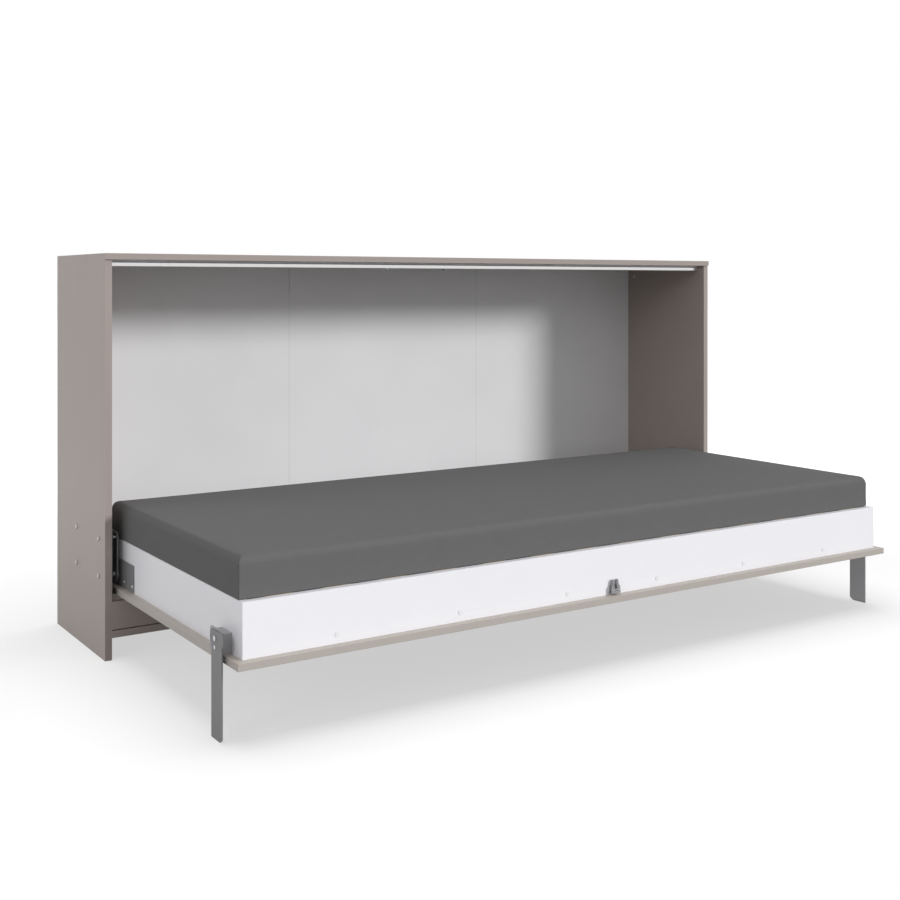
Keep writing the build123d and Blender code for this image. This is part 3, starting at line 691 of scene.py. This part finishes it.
@dataclass
class Cabinet:
    """The cabinet: its boards, back, fittings and hinge trays.

    Attributes:
        board_edge: rounding of the boards' edges, in millimetres.
        steel_edge: rounding of the steel pieces' edges, in millimetres.
        sides: nodes of the side panels.
        boards: nodes of the other faced boards.
        backs: nodes of the back's panels.
        trays: nodes of the hinge trays.
        fasteners: nodes of the bright plated fittings.
    """

    board_edge: float = 0.8
    steel_edge: float = 0.5
    sides: tuple[str, ...] = ("left_side_panel", "right_side_panel")
    boards: tuple[str, ...] = ("top_panel", "bottom_shelf", "lower_front_board")
    backs: tuple[str, ...] = ("back_panel_left", "back_panel_centre", "back_panel_right")
    trays: tuple[str, ...] = ("left_hinge_tray", "right_hinge_tray")
    fasteners: tuple[str, ...] = (
        "cam_locks", "cam_bolts", "wall_bracket_screws",
        "left_pivot_pin", "right_pivot_pin", "spring_anchors",
    )

    def build(self) -> None:
        """Round the edges of the boards, the stop and the small steel pieces.

        The side panels stay sharp, because their bolt holes leave no room for the rounding.
        """
        soften((*self.boards, "stop_rail", "stop_batten"), self.board_edge)
        soften(("wall_bracket", "catch_keeper"), self.steel_edge)

    def dress(self) -> None:
        """Give every piece of the cabinet its finish."""
        dress((*self.sides, *self.boards), TAUPE_BOARD)
        dress(("stop_rail",), ANODISED_BAR)
        dress(("stop_batten",), WHITE_BOARD)
        dress(self.backs, BACK_BOARD)
        dress(("back_joint_strips",), GREY_PVC)
        dress(("fixing_rail", "panel_dowels"), SPRUCE)
        dress(("wall_bracket",), WHITE_COAT)
        dress(("catch_keeper",), PALE_COAT)
        dress(self.trays, BLACK_COAT)
        dress(self.fasteners, ZINC_PLATE)
        dress(("hinge_bolts",), DULL_ZINC)


@dataclass
class BedFrame:
    """The folding bed without its mattress: door panel, frame, slats, hinge plates and catch.

    Attributes:
        board_edge: rounding of the boards' edges, in millimetres.
        steel_edge: rounding of the steel pieces' edges, in millimetres.
        frame_boards: nodes of the white frame.
        plates: nodes of the hinge plates on the frame's ends.
        levers: nodes of the hinge levers.
        inner_timber: nodes of the wood inside the frame.
        catch: nodes of the catch and its jaws.
    """

    board_edge: float = 0.8
    steel_edge: float = 0.4
    frame_boards: tuple[str, ...] = ("front_rail", "rear_rail", "left_end_board", "right_end_board")
    plates: tuple[str, ...] = ("left_bed_plate", "right_bed_plate")
    levers: tuple[str, ...] = ("left_lever", "right_lever")
    inner_timber: tuple[str, ...] = ("corner_blocks", "door_cleats", "slat_ledgers", "cross_bearers")
    catch: tuple[str, ...] = ("catch_body", "left_catch_jaw", "right_catch_jaw")

    def build(self) -> None:
        """Round the edges of the boards and of the visible steel."""
        soften(("door_panel", *self.frame_boards, "slats"), self.board_edge)
        soften(self.catch, self.steel_edge)

    def dress(self) -> None:
        """Give every piece of the bed its finish."""
        dress(("door_panel",), DOOR_BOARD)
        dress(self.frame_boards, WHITE_BOARD)
        dress(self.inner_timber, SPRUCE)
        dress(("slats",), BIRCH)
        dress(("rail_screw_caps",), WHITE_ABS)
        dress((*self.plates, *self.levers), GREY_COAT)
        dress(self.catch, CATCH_COAT)
        dress(("pivot_bushes",), BRONZE)
        dress(("catch_pins", "lever_studs"), ZINC_PLATE)


@dataclass
class SwingLeg:
    """A swing leg with its bracket, foot and rivets.

    Attributes:
        side: end of the bed that it stands at.
        steel_edge: rounding of the steel's edges, in millimetres.
    """

    side: Side
    steel_edge: float = 0.6

    def build(self) -> None:
        """Round the edges of the leg, its bracket and its foot."""
        names = ("leg", "leg_bracket", "leg_foot")
        soften((f"{self.side.value}_{name}" for name in names), self.steel_edge)

    def dress(self) -> None:
        """Give the leg's pieces their finishes."""
        side = self.side.value
        dress((f"{side}_leg",), GREY_COAT)
        # the bracket's paler coat is partly painted light, standing in for fill light in the leg's shadow
        dress((f"{side}_leg_bracket",), PALE_COAT)
        dress((f"{side}_leg_foot",), GREY_NYLON)
        dress((f"{side}_leg_rivets",), ZINC_PLATE)


@dataclass
class CrossHeadScrews:
    """Pan head screws with a cross recess, in place of a node's plain heads.

    Attributes:
        node: CAD node that they stand for.
        body: body that they ride on.
        head_radius: radius of a head, in millimetres.
        head_height: height of a head, in millimetres.
        corners: number of corners round a head.
        rounds: rings of the head from its foot up, as shares of its radius and of its height.
        flat_share: radius of the head's flat top, as a share of its radius.
        recess_reach: reach of the cross, as a share of the head's radius.
        recess_width: width of the cross, as a share of the head's radius.
        recess_depth: depth of the cross, as a share of the head's height.
    """

    node: str
    body: str = "bed"
    head_radius: float = 4.0
    head_height: float = 2.0
    corners: int = 24
    rounds: tuple[tuple[float, float], ...] = ((1.0, 0.0), (1.0, 0.45), (0.92, 0.75), (0.76, 0.94))
    flat_share: float = 0.55
    recess_reach: float = 0.5
    recess_width: float = 0.14
    recess_depth: float = 0.6

    def head(self, work: bmesh.types.BMesh, place: Matrix) -> None:
        """Add one head.

        Args:
            work: mesh that takes the head.
            place: where the head's foot is, with its top along local Z.
        """
        radius, height = self.head_radius * MM, self.head_height * MM
        rings = []
        for share, rise in (*self.rounds, (self.flat_share, 1.0)):
            ring = []
            for step in range(self.corners):
                angle = 2 * math.pi * step / self.corners
                point = Vector((math.cos(angle) * share, math.sin(angle) * share, 0)) * radius
                point.z = rise * height
                ring.append(work.verts.new(place @ point))
            rings.append(ring)
        for low, high in zip(rings, rings[1:]):
            for step in range(self.corners):
                after = (step + 1) % self.corners
                work.faces.new((low[step], low[after], high[after], high[step]))
        reach, half = self.recess_reach * radius, self.recess_width * radius
        corner = [(reach, -half), (reach, half), (half, half)]
        outline = []
        for turn in range(4):
            spin = Matrix.Rotation(turn * math.pi / 2, 2)
            outline.extend(spin @ Vector(point) for point in corner)
        rim, floor = (
            [work.verts.new(place @ Vector((*point, level * height))) for point in outline]
            for level in (1.0, 1.0 - self.recess_depth)
        )
        loops = [rings[-1], rim]
        edges = [
            work.edges.get((loop[step], loop[(step + 1) % len(loop)]))
            or work.edges.new((loop[step], loop[(step + 1) % len(loop)]))
            for loop in loops
            for step in range(len(loop))
        ]
        bmesh.ops.triangle_fill(work, use_beauty=True, edges=edges)
        for step in range(len(rim)):
            after = (step + 1) % len(rim)
            work.faces.new((rim[step], rim[after], floor[after], floor[step]))
        work.faces.new(floor)

    def build(self) -> bpy.types.Object:
        """Make all the heads as one piece on the bed.

        Returns:
            The piece.
        """
        work = bmesh.new()
        for low, high in solid_boxes(self.node):
            sign = -1 if low.x < 0 else 1
            outer = low.x if sign < 0 else high.x
            foot = Vector((outer - sign * self.head_height * MM, (low.y + high.y) / 2, (low.z + high.z) / 2))
            turn = Vector((sign, 0, 0)).to_track_quat("Z", "Y").to_matrix().to_4x4()
            self.head(work, Matrix.Translation(foot) @ turn)
        bmesh.ops.recalc_face_normals(work, faces=work.faces)
        mesh = bpy.data.meshes.new(f"{self.node}_heads")
        work.to_mesh(mesh)
        work.free()
        mesh.shade_smooth()
        mesh.set_sharp_from_angle(angle=SHARP_ANGLE)
        piece = bpy.data.objects.new(f"{self.node}_heads", mesh)
        bpy.context.scene.collection.objects.link(piece)
        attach(piece, self.body)
        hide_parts(self.node)
        piece.data.materials.append(ZINC_PLATE.material())
        LOG.info("%s: %d faces", piece.name, len(mesh.polygons))
        return piece


@dataclass
class LiftingSpring:
    """A wound extension spring between the lever's stud and the tray's anchor.

    Attributes:
        side: end of the bed that it is at.
        wire: diameter of the wire, in millimetres.
        outer: outer diameter of the turns, in millimetres.
        turns: number of turns.
        points_a_turn: number of mesh steps in a turn.
        eye: radius of the end eyes' middle line, in millimetres.
        eye_to_turns: length from the eye's middle to the first turn, in millimetres.
        eye_turn: how far an eye bends to each side of its far point, in degrees.
        eye_points: number of mesh steps in an eye.
        wire_corners: number of corners round the wire.
    """

    side: Side
    wire: float = 2.2
    outer: float = 15.0
    turns: int = 44
    points_a_turn: int = 14
    eye: float = 5.4
    eye_to_turns: float = 13.0
    eye_turn: float = 150.0
    eye_points: int = 18
    wire_corners: int = 8

    def ends(self) -> tuple[Vector, Vector]:
        """Find the middles of the stud and of the anchor.

        Returns:
            The stud's and the anchor's middle, on the spring's own plane.
        """
        low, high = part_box(f"{self.side.value}_lifting_spring")
        middle_x = (low.x + high.x) / 2
        pick = 0 if self.side is Side.LEFT else -1
        points = []
        for node in ("lever_studs", "spring_anchors"):
            stud_low, stud_high = solid_boxes(node)[pick]
            middle = (stud_low + stud_high) / 2
            points.append(Vector((middle_x, middle.y, middle.z)))
        return points[0], points[1]

    def bend_eye(self, middle: Vector, away: Vector, upward: Vector) -> list[Vector]:
        """Bend one eye round a stud, open towards the turns.

        Args:
            middle: middle of the stud.
            away: direction away from the turns.
            upward: direction across the spring, in the eye's plane.

        Returns:
            Points of the wire's middle line.
        """
        points = []
        for step in range(self.eye_points + 1):
            angle = math.radians(self.eye_turn) * (2 * step / self.eye_points - 1)
            points.append(middle + (away * math.cos(angle) + upward * math.sin(angle)) * self.eye * MM)
        return points

    def path(self, stud: Vector, anchor: Vector) -> list[Vector]:
        """Lay out the wire: an eye round the stud, the turns, and an eye round the anchor.

        Args:
            stud: middle of the lever's stud.
            anchor: middle of the tray's anchor.

        Returns:
            Points of the wire's middle line.
        """
        ahead = (anchor - stud).normalized()
        beside = Vector((1, 0, 0))
        upward = beside.cross(ahead)
        coil = (self.outer - self.wire) / 2 * MM
        reach = self.eye_to_turns * MM
        run = (anchor - stud).length - 2 * reach
        turns = []
        steps = self.turns * self.points_a_turn
        for step in range(steps + 1):
            share = step / steps
            angle = 2 * math.pi * self.turns * share
            offset = (upward * math.cos(angle) + beside * math.sin(angle)) * coil
            turns.append(stud + ahead * (reach + run * share) + offset)
        far_eye = self.bend_eye(anchor, ahead, upward)
        return self.bend_eye(stud, -ahead, upward) + turns + far_eye[::-1]

    def build(self) -> bpy.types.Object:
        """Wind the spring between the cabinet and the bed.

        Returns:
            The piece.
        """
        stud, anchor = self.ends()
        vertices, faces = tube(self.path(stud, anchor), self.wire / 2 * MM, self.wire_corners)
        piece = mesh_piece(f"{self.side.value}_spring_coil", vertices, faces)
        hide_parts(f"{self.side.value}_lifting_spring")
        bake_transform(piece)
        piece.data.materials.append(SPRING_WIRE.material())
        LOG.info("%s: %d turns", piece.name, self.turns)
        return piece


@dataclass
class CatchSpring:
    """The small compression spring between the catch's jaws.

    Attributes:
        wire: diameter of the wire, in millimetres.
        turns: number of turns.
        points_a_turn: number of mesh steps in a turn.
        wire_corners: number of corners round the wire.
        squeezed: length with the jaws open, as a share of its length at rest. Not used.
    """

    wire: float = 0.5
    turns: int = 6
    points_a_turn: int = 12
    wire_corners: int = 6
    squeezed: float = 0.75

    def build(self) -> bpy.types.Object:
        """Wind the spring inside its CAD cylinder.

        Returns:
            The piece.
        """
        low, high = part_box("catch_spring")
        coil = (high.z - low.z) / 2 - self.wire / 2 * MM
        middle = (low + high) / 2
        steps = self.turns * self.points_a_turn
        path = []
        for step in range(steps + 1):
            angle = 2 * math.pi * self.turns * step / steps
            run = low.x + self.wire / 2 * MM + (high.x - low.x - self.wire * MM) * step / steps
            path.append(Vector((run, middle.y + coil * math.cos(angle), middle.z + coil * math.sin(angle))))
        vertices, faces = tube(path, self.wire / 2 * MM, self.wire_corners)
        piece = mesh_piece("catch_spring_coil", vertices, faces)
        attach(piece, "bed")
        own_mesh(piece)
        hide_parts("catch_spring")
        piece.data.materials.append(ZINC_PLATE.material())
        LOG.info("%s: %d turns", piece.name, self.turns)
        return piece


@dataclass
class Mattress:
    """The foam mattress in its sewn cover, blown up a little by a cloth simulation.

    Attributes:
        top_round: radius of the top edges, in millimetres.
        foot_round: radius of the bottom edges, in millimetres.
        corner_round: radius of the upright corners, in millimetres.
        crown: rise of the top towards its middle, in millimetres.
        step: spacing of the mesh on the flats, in millimetres.
        fine_steps: number of mesh steps in a rounded edge.
        swell: how far the cover may swell, in millimetres.
        pressure: pressure of the simulation.
        frames: number of simulated frames.
        steps_a_frame: steps of the simulation in a frame.
        stretch_stiffness: how hard the cover is to stretch or press together.
        bend_stiffness: how hard it is to bend.
        seam_radius: radius of the sewn corner seams, in millimetres.
        seam_proud: how far a seam's middle stands out from its corner, in millimetres.
        seam_corners: number of corners round a seam.
        fill: how full the cover is. Not used.
        corner_points: numbers of the mesh points up each corner, by the corner's place in the grid.
    """

    top_round: float = 18.0
    foot_round: float = 3.0
    corner_round: float = 3.0
    crown: float = 0.8
    step: float = 24.0
    fine_steps: int = 5
    swell: float = 1.4
    pressure: float = 3.0
    frames: int = 16
    steps_a_frame: int = 5
    stretch_stiffness: float = 40.0
    bend_stiffness: float = 4.0
    seam_radius: float = 0.7
    seam_proud: float = 0.1
    seam_corners: int = 8
    fill: float = 0.9
    corner_points: dict[tuple[int, int], list[int]] = field(default_factory=dict)

    def stops(self, length: float, low_round: float, high_round: float) -> list[float]:
        """Divide a length into mesh steps that are finer at its rounded ends.

        Args:
            length: length to divide, in metres.
            low_round: radius at the start, in millimetres.
            high_round: radius at the end, in millimetres.

        Returns:
            Rising places from 0 to the length.
        """
        shares = [number / self.fine_steps for number in range(self.fine_steps + 1)]
        head = [low_round * MM * share for share in shares]
        tail = [length - high_round * MM * share for share in reversed(shares)]
        run = tail[0] - head[-1]
        count = max(1, round(run / (self.step * MM)))
        middle = [head[-1] + run * number / count for number in range(1, count)]
        return head + middle + tail

    @staticmethod
    def turn_edge(first: float, second: float, radius: float) -> tuple[float, float]:
        """Round the edge between two faces.

        Args:
            first: depth below the first face.
            second: depth below the second face.
            radius: radius of the rounding.

        Returns:
            The two depths of the rounded point.
        """
        if first >= radius or second >= radius:
            return first, second
        out_first, out_second = radius - first, radius - second
        length = math.hypot(out_first, out_second)
        share = max(out_first, out_second) / length
        return radius - out_first * share, radius - out_second * share

    def shape(self, point: Point, size: Vector) -> Point:
        """Turn a point of a plain box into a point of the mattress.

        Args:
            point: point of the box, from its lowest corner.
            size: size of the box.

        Returns:
            The rounded point.
        """
        x, y, z = point
        deep_x, deep_y = min(x, size.x - x), min(y, size.y - y)
        top = size.z - z
        deep_x, deep_y = self.turn_edge(deep_x, deep_y, self.corner_round * MM)
        top_x, fall_x = self.turn_edge(deep_x, top, self.top_round * MM)
        top_y, fall_y = self.turn_edge(deep_y, top, self.top_round * MM)
        foot_x, rise_x = self.turn_edge(deep_x, z, self.foot_round * MM)
        foot_y, rise_y = self.turn_edge(deep_y, z, self.foot_round * MM)
        in_x, in_y = max(top_x, foot_x), max(top_y, foot_y)
        height = size.z - max(fall_x, fall_y) if top < size.z / 2 else max(rise_x, rise_y)
        share_x, share_y = 2 * x / size.x - 1, 2 * y / size.y - 1
        crown = self.crown * MM * (1 - share_x ** 2) * (1 - share_y ** 2) * (z / size.z)
        return (
            in_x if x < size.x / 2 else size.x - in_x,
            in_y if y < size.y / 2 else size.y - in_y,
            height + crown,
        )

    def box_mesh(self, low: Vector, size: Vector) -> bpy.types.Object:
        """Make the unswollen mattress as an even mesh of four-sided faces.

        Args:
            low: lowest corner.
            size: size in each direction.

        Returns:
            The mesh piece.
        """
        stops = (
            self.stops(size.x, self.top_round, self.top_round),
            self.stops(size.y, self.top_round, self.top_round),
            self.stops(size.z, self.foot_round, self.top_round),
        )
        last = tuple(len(places) - 1 for places in stops)
        numbers: dict[tuple[int, int, int], int] = {}
        vertices: list[Vector] = []

        def corner(i: int, j: int, k: int) -> int:
            """Find or make the vertex at a place of the grid.

            Args:
                i: place along X.
                j: place along Y.
                k: place along Z.

            Returns:
                The vertex's number.
            """
            if (i, j, k) not in numbers:
                numbers[i, j, k] = len(vertices)
                vertices.append(low + Vector(self.shape((stops[0][i], stops[1][j], stops[2][k]), size)))
            return numbers[i, j, k]

        faces: Faces = []
        for i in range(last[0]):
            for j in range(last[1]):
                for k in (0, last[2]):
                    places = ((i, j, k), (i + 1, j, k), (i + 1, j + 1, k), (i, j + 1, k))
                    face = tuple(corner(*place) for place in places)
                    faces.append(face if k else face[::-1])
        for k in range(last[2]):
            for i in range(last[0]):
                for j in (0, last[1]):
                    places = ((i, j, k), (i + 1, j, k), (i + 1, j, k + 1), (i, j, k + 1))
                    face = tuple(corner(*place) for place in places)
                    faces.append(face[::-1] if j else face)
            for j in range(last[1]):
                for i in (0, last[0]):
                    places = ((i, j, k), (i, j + 1, k), (i, j + 1, k + 1), (i, j, k + 1))
                    face = tuple(corner(*place) for place in places)
                    faces.append(face if i else face[::-1])
        for i in (0, last[0]):
            for j in (0, last[1]):
                self.corner_points[i, j] = [corner(i, j, k) for k in range(last[2] + 1)]
        return mesh_piece("mattress_cover", vertices, faces)

    def blow_up(self, piece: bpy.types.Object) -> None:
        """Swell the cover with a cloth simulation, and keep the result within a few millimetres.

        Args:
            piece: mattress mesh, whose points are moved.
        """
        mesh = piece.data
        before = np.array([vertex.co for vertex in mesh.vertices])
        held = piece.vertex_groups.new(name="held")
        lowest = before[:, 2].min()
        held.add([int(number) for number in np.flatnonzero(before[:, 2] < lowest + MM)], 1.0, "REPLACE")
        cloth = piece.modifiers.new("cover", "CLOTH")
        settings = cloth.settings
        settings.quality = self.steps_a_frame
        settings.use_pressure = True
        settings.uniform_pressure_force = self.pressure
        settings.tension_stiffness = self.stretch_stiffness
        settings.compression_stiffness = self.stretch_stiffness
        settings.bending_stiffness = self.bend_stiffness
        settings.vertex_group_mass = "held"
        settings.effector_weights.gravity = 0
        cloth.point_cache.frame_end = self.frames
        scene = bpy.context.scene
        for number in range(1, self.frames + 1):
            scene.frame_set(number)
        swollen = piece.evaluated_get(bpy.context.evaluated_depsgraph_get()).to_mesh()
        after = np.array([vertex.co for vertex in swollen.vertices])
        piece.modifiers.remove(cloth)
        piece.vertex_groups.remove(held)
        scene.frame_set(1)
        moves = after - before
        lengths = np.linalg.norm(moves, axis=1, keepdims=True)
        cap = self.swell * MM
        moves *= cap * np.tanh(lengths / cap) / np.maximum(lengths, 1e-9)
        mesh.vertices.foreach_set("co", (before + moves).ravel())
        mesh.update()
        LOG.info("%s: moved by up to %.1f mm", piece.name, float(np.linalg.norm(moves, axis=1).max()) / MM)

    def seams(self, piece: bpy.types.Object) -> bpy.types.Object:
        """Sew the four upright corners.

        Args:
            piece: swollen mattress.

        Returns:
            The four seams as one piece.
        """
        middle = sum((Vector(corner) for corner in piece.bound_box), Vector()) / 8
        vertices: list[Vector] = []
        faces: Faces = []
        for numbers in self.corner_points.values():
            path = []
            for number in numbers[self.fine_steps:-self.fine_steps]:
                point = piece.data.vertices[number].co
                away = point - middle
                outward = Vector((math.copysign(1, away.x), math.copysign(1, away.y), 0))
                path.append(point + outward.normalized() * self.seam_proud * MM)
            points, rings = tube(path, self.seam_radius * MM, self.seam_corners)
            faces.extend(tuple(number + len(vertices) for number in ring) for ring in rings)
            vertices.extend(points)
        return mesh_piece("mattress_corner_seams", vertices, faces)

    def build(self) -> bpy.types.Object:
        """Make the mattress and its seams on the bed.

        Returns:
            The mattress.
        """
        low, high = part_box("mattress")
        size = high - low
        size.z -= (self.swell + self.crown) * MM
        piece = self.box_mesh(low, size)
        self.blow_up(piece)
        seams = self.seams(piece)
        smooth = piece.modifiers.new("smooth", "SUBSURF")
        smooth.levels = smooth.render_levels = 1
        for part, finish in ((piece, MATTRESS_COVER), (seams, COVER_SEAM)):
            part.data.materials.append(finish.material())
            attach(part, "bed")
        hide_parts("mattress")
        LOG.info("%s: %d faces", piece.name, len(piece.data.polygons))
        return piece


@dataclass(frozen=True)
class SoftLamp:
    """A square lamp that looks at a point.

    Attributes:
        name: name of the lamp.
        place: where it hangs, in metres.
        target: point that it looks at, in metres.
        size: length of its sides, in metres.
        power: its power, in watts.
    """

    name: str
    place: Point
    target: Point
    size: float
    power: float


@dataclass
class Studio:
    """The floor, the light and the camera.

    Attributes:
        camera_place: where the camera stands, in metres.
        camera_turn: its turn to the right of the cabinet's middle line, in degrees.
        lens: focal length on a 36 mm sensor, in millimetres.
        rise: lens shift that keeps the uprights parallel.
        key_azimuth: direction of the main light, to the right of the middle line, in degrees.
        key_height: height of the main light above the horizon, in degrees.
        key_spread: angle that the main light covers, in degrees.
        key_strength: strength of the main light.
        top: soft light overhead.
        floor_lamp: light overhead for the floor alone.
        left_fill: fill for the cabinet's left side.
        front_fill: fill from the front left.
        leg_fill: fill for the far leg alone.
        ambient: strength of the room's own light.
        floor_shade: how bright the floor looks where no light reaches it.
        fade_start: distance from the object's middle at which the floor starts to turn white, in metres.
        fade_end: distance at which it is white, in metres.
        floor_half: half the length of the floor's sides, in metres.
        floor_drop: how far the floor lies below the object's feet, in millimetres.
    """

    camera_place: Point = (-2.0595, -2.954, 0.9575)
    camera_turn: float = 33.3
    lens: float = 49.9
    rise: float = -0.1853
    key_azimuth: float = 47.6
    key_height: float = 17.8
    key_spread: float = 12.5
    key_strength: float = 2.44
    top: SoftLamp = SoftLamp("top_light", (0.0, -0.6, 4.0), (0.0, -0.6, 0.0), 4.0, 22.0)
    floor_lamp: SoftLamp = SoftLamp("floor_light", (0.0, 0.0, 4.0), (0.0, 0.0, 0.0), 4.0, 323.0)
    left_fill: SoftLamp = SoftLamp("left_fill", (-2.8, 0.8, 1.9), (-1.0, 0.3, 0.5), 1.0, 7.0)
    front_fill: SoftLamp = SoftLamp("front_left_fill", (-6.0, -2.5, 2.5), (0.0, 0.3, 0.6), 1.5, 44.0)
    leg_fill: SoftLamp = SoftLamp("far_leg_fill", (-3.0, -1.6, 0.12), (1.03, -0.49, 0.08), 0.3, 115.0)
    ambient: float = 0.46
    floor_shade: float = 0.58
    fade_start: float = 1.5
    fade_end: float = 3.0
    floor_half: float = 30.0
    floor_drop: float = 0.2

    def seen_directly(self, tree: bpy.types.NodeTree) -> bpy.types.NodeSocket:
        """Tell rays that come from the camera, a shiny surface or glass from the rest.

        Args:
            tree: node tree that takes the nodes.

        Returns:
            A socket that is 1 for such rays.
        """
        ray = add_node(tree, "ShaderNodeLightPath", {}).outputs
        seen = ray["Is Camera Ray"]
        for kind in ("Is Glossy Ray", "Is Transmission Ray"):
            either = add_node(tree, "ShaderNodeMath", {"operation": "MAXIMUM"}, {0: seen, 1: ray[kind]})
            seen = either.outputs[0]
        return seen

    def world(self) -> None:
        """Fill the room with soft light, and show it white."""
        world = bpy.data.worlds.new("studio")
        world.use_nodes = True
        bpy.context.scene.world = world
        tree = world.node_tree
        tree.nodes.clear()
        seen = self.seen_directly(tree)
        soft = add_node(tree, "ShaderNodeBackground", {"Color": linear("#FFFFFF"), "Strength": self.ambient})
        white = add_node(tree, "ShaderNodeBackground", {"Color": linear("#FFFFFF"), "Strength": 1.0})
        both = add_node(
            tree, "ShaderNodeMixShader", {}, {0: seen, 1: soft.outputs[0], 2: white.outputs[0]}
        )
        add_node(tree, "ShaderNodeOutputWorld", {}, {"Surface": both.outputs[0]})

    def floor(self) -> bpy.types.Object:
        """Lay a pale floor that keeps the object's shadow.

        Returns:
            The floor.
        """
        half, drop = self.floor_half, -self.floor_drop * MM
        corners = [(-half, -half, drop), (half, -half, drop), (half, half, drop), (-half, half, drop)]
        piece = mesh_piece("studio_floor", corners, [(0, 1, 2, 3)])
        material = bpy.data.materials.new("studio_paper_white")
        material.use_nodes = True
        tree = material.node_tree
        tree.nodes.clear()
        seen = self.seen_directly(tree)
        paper = add_node(tree, "ShaderNodeBsdfDiffuse", {"Color": linear("#868686")})
        place = add_node(tree, "ShaderNodeTexCoord", {})
        away = add_node(
            tree, "ShaderNodeVectorMath", {"operation": "LENGTH"}, {0: place.outputs["Object"]}
        ).outputs["Value"]
        white = add_node(
            tree,
            "ShaderNodeMapRange",
            {
                "interpolation_type": "SMOOTHSTEP", "From Min": self.fade_start, "From Max": self.fade_end,
                "To Min": self.floor_shade, "To Max": 1.0,
            },
            {"Value": away},
        )
        strength = add_node(
            tree, "ShaderNodeMath", {"operation": "MULTIPLY"}, {0: seen, 1: white.outputs["Result"]}
        )
        glow = add_node(
            tree, "ShaderNodeEmission", {"Color": linear("#FFFFFF")}, {"Strength": strength.outputs[0]}
        )
        both = add_node(tree, "ShaderNodeAddShader", {}, {0: paper.outputs[0], 1: glow.outputs[0]})
        add_node(tree, "ShaderNodeOutputMaterial", {}, {"Surface": both.outputs[0]})
        piece.data.materials.append(material)
        return piece

    def lamp(self, name: str, kind: str, place: Point, target: Point, strength: float) -> bpy.types.Object:
        """Hang a lamp that looks at a point.

        Args:
            name: name of the lamp.
            kind: Blender's kind of lamp.
            place: where it hangs.
            target: point that it looks at.
            strength: its strength.

        Returns:
            The lamp.
        """
        light = bpy.data.lights.new(name, kind)
        light.energy = strength
        lamp = bpy.data.objects.new(name, light)
        lamp.location = place
        lamp.rotation_mode = "QUATERNION"
        lamp.rotation_quaternion = (Vector(target) - Vector(place)).to_track_quat("-Z", "Y")
        lamp.visible_camera = False
        bpy.context.scene.collection.objects.link(lamp)
        return lamp

    def hang(self, soft: SoftLamp) -> bpy.types.Object:
        """Hang a soft lamp.

        Args:
            soft: the lamp's place, size and power.

        Returns:
            The lamp.
        """
        lamp = self.lamp(soft.name, "AREA", soft.place, soft.target, soft.power)
        lamp.data.size = soft.size
        return lamp

    def link_light(self, lamp: bpy.types.Object, piece: bpy.types.Object, state: str) -> None:
        """Keep a lamp's light off one piece, or for that piece alone.

        Args:
            lamp: the lamp.
            piece: the piece.
            state: "EXCLUDE" or "INCLUDE".
        """
        group = bpy.data.collections.new(f"{lamp.name}_{state.lower()}")
        group.objects.link(piece)
        group.collection_objects[0].light_linking.link_state = state
        lamp.light_linking.receiver_collection = group

    def lights(self, floor: bpy.types.Object) -> None:
        """Set the main light at the right, a soft light overhead and the fills at the left.

        Shiny surfaces mirror the white room but not the main light, which would bleach the top panel
        where it is seen against the light.

        Args:
            floor: floor, which has a light of its own overhead in place of the main light, so that the
                bed's shadow lies under it.
        """
        turn, height = math.radians(self.key_azimuth), math.radians(self.key_height)
        way = (math.sin(turn) * math.cos(height), -math.cos(turn) * math.cos(height), math.sin(height))
        key = self.lamp("main_light", "SUN", way, (0.0, 0.0, 0.0), self.key_strength)
        key.data.angle = math.radians(self.key_spread)
        key.visible_glossy = False
        self.link_light(key, floor, "EXCLUDE")
        self.hang(self.top)
        self.link_light(self.hang(self.floor_lamp), floor, "INCLUDE")
        self.hang(self.left_fill)
        self.hang(self.front_fill)
        self.link_light(self.hang(self.leg_fill), bpy.data.objects["right_leg"], "INCLUDE")

    def camera(self) -> None:
        """Stand the camera where the bed is seen from the left, level and with parallel uprights."""
        data = bpy.data.cameras.new("camera")
        data.lens = self.lens
        data.sensor_width = 36.0
        data.shift_y = self.rise
        data.clip_end = 200.0
        camera = bpy.data.objects.new("camera", data)
        camera.location = self.camera_place
        camera.rotation_euler = (math.radians(90), 0, math.radians(-self.camera_turn))
        bpy.context.scene.collection.objects.link(camera)
        bpy.context.scene.camera = camera

    def build(self) -> None:
        """Set up the whole studio."""
        bpy.context.scene.view_settings.view_transform = "Standard"
        self.world()
        self.lights(self.floor())
        self.camera()


def main() -> None:
    """Dress the bed and set up the studio."""
    logging.basicConfig(level=logging.INFO, format="%(name)s %(message)s")
    Studio().build()
    legs = [SwingLeg(side) for side in Side]
    for part in (Cabinet(), BedFrame(), *legs):
        part.build()
        part.dress()
    for node in ("bed_plate_screws", "leg_bracket_screws"):
        CrossHeadScrews(node).build()
    for side in Side:
        LiftingSpring(side).build()
    CatchSpring().build()
    Mattress().build()


if __name__ == "__main__":
    main()
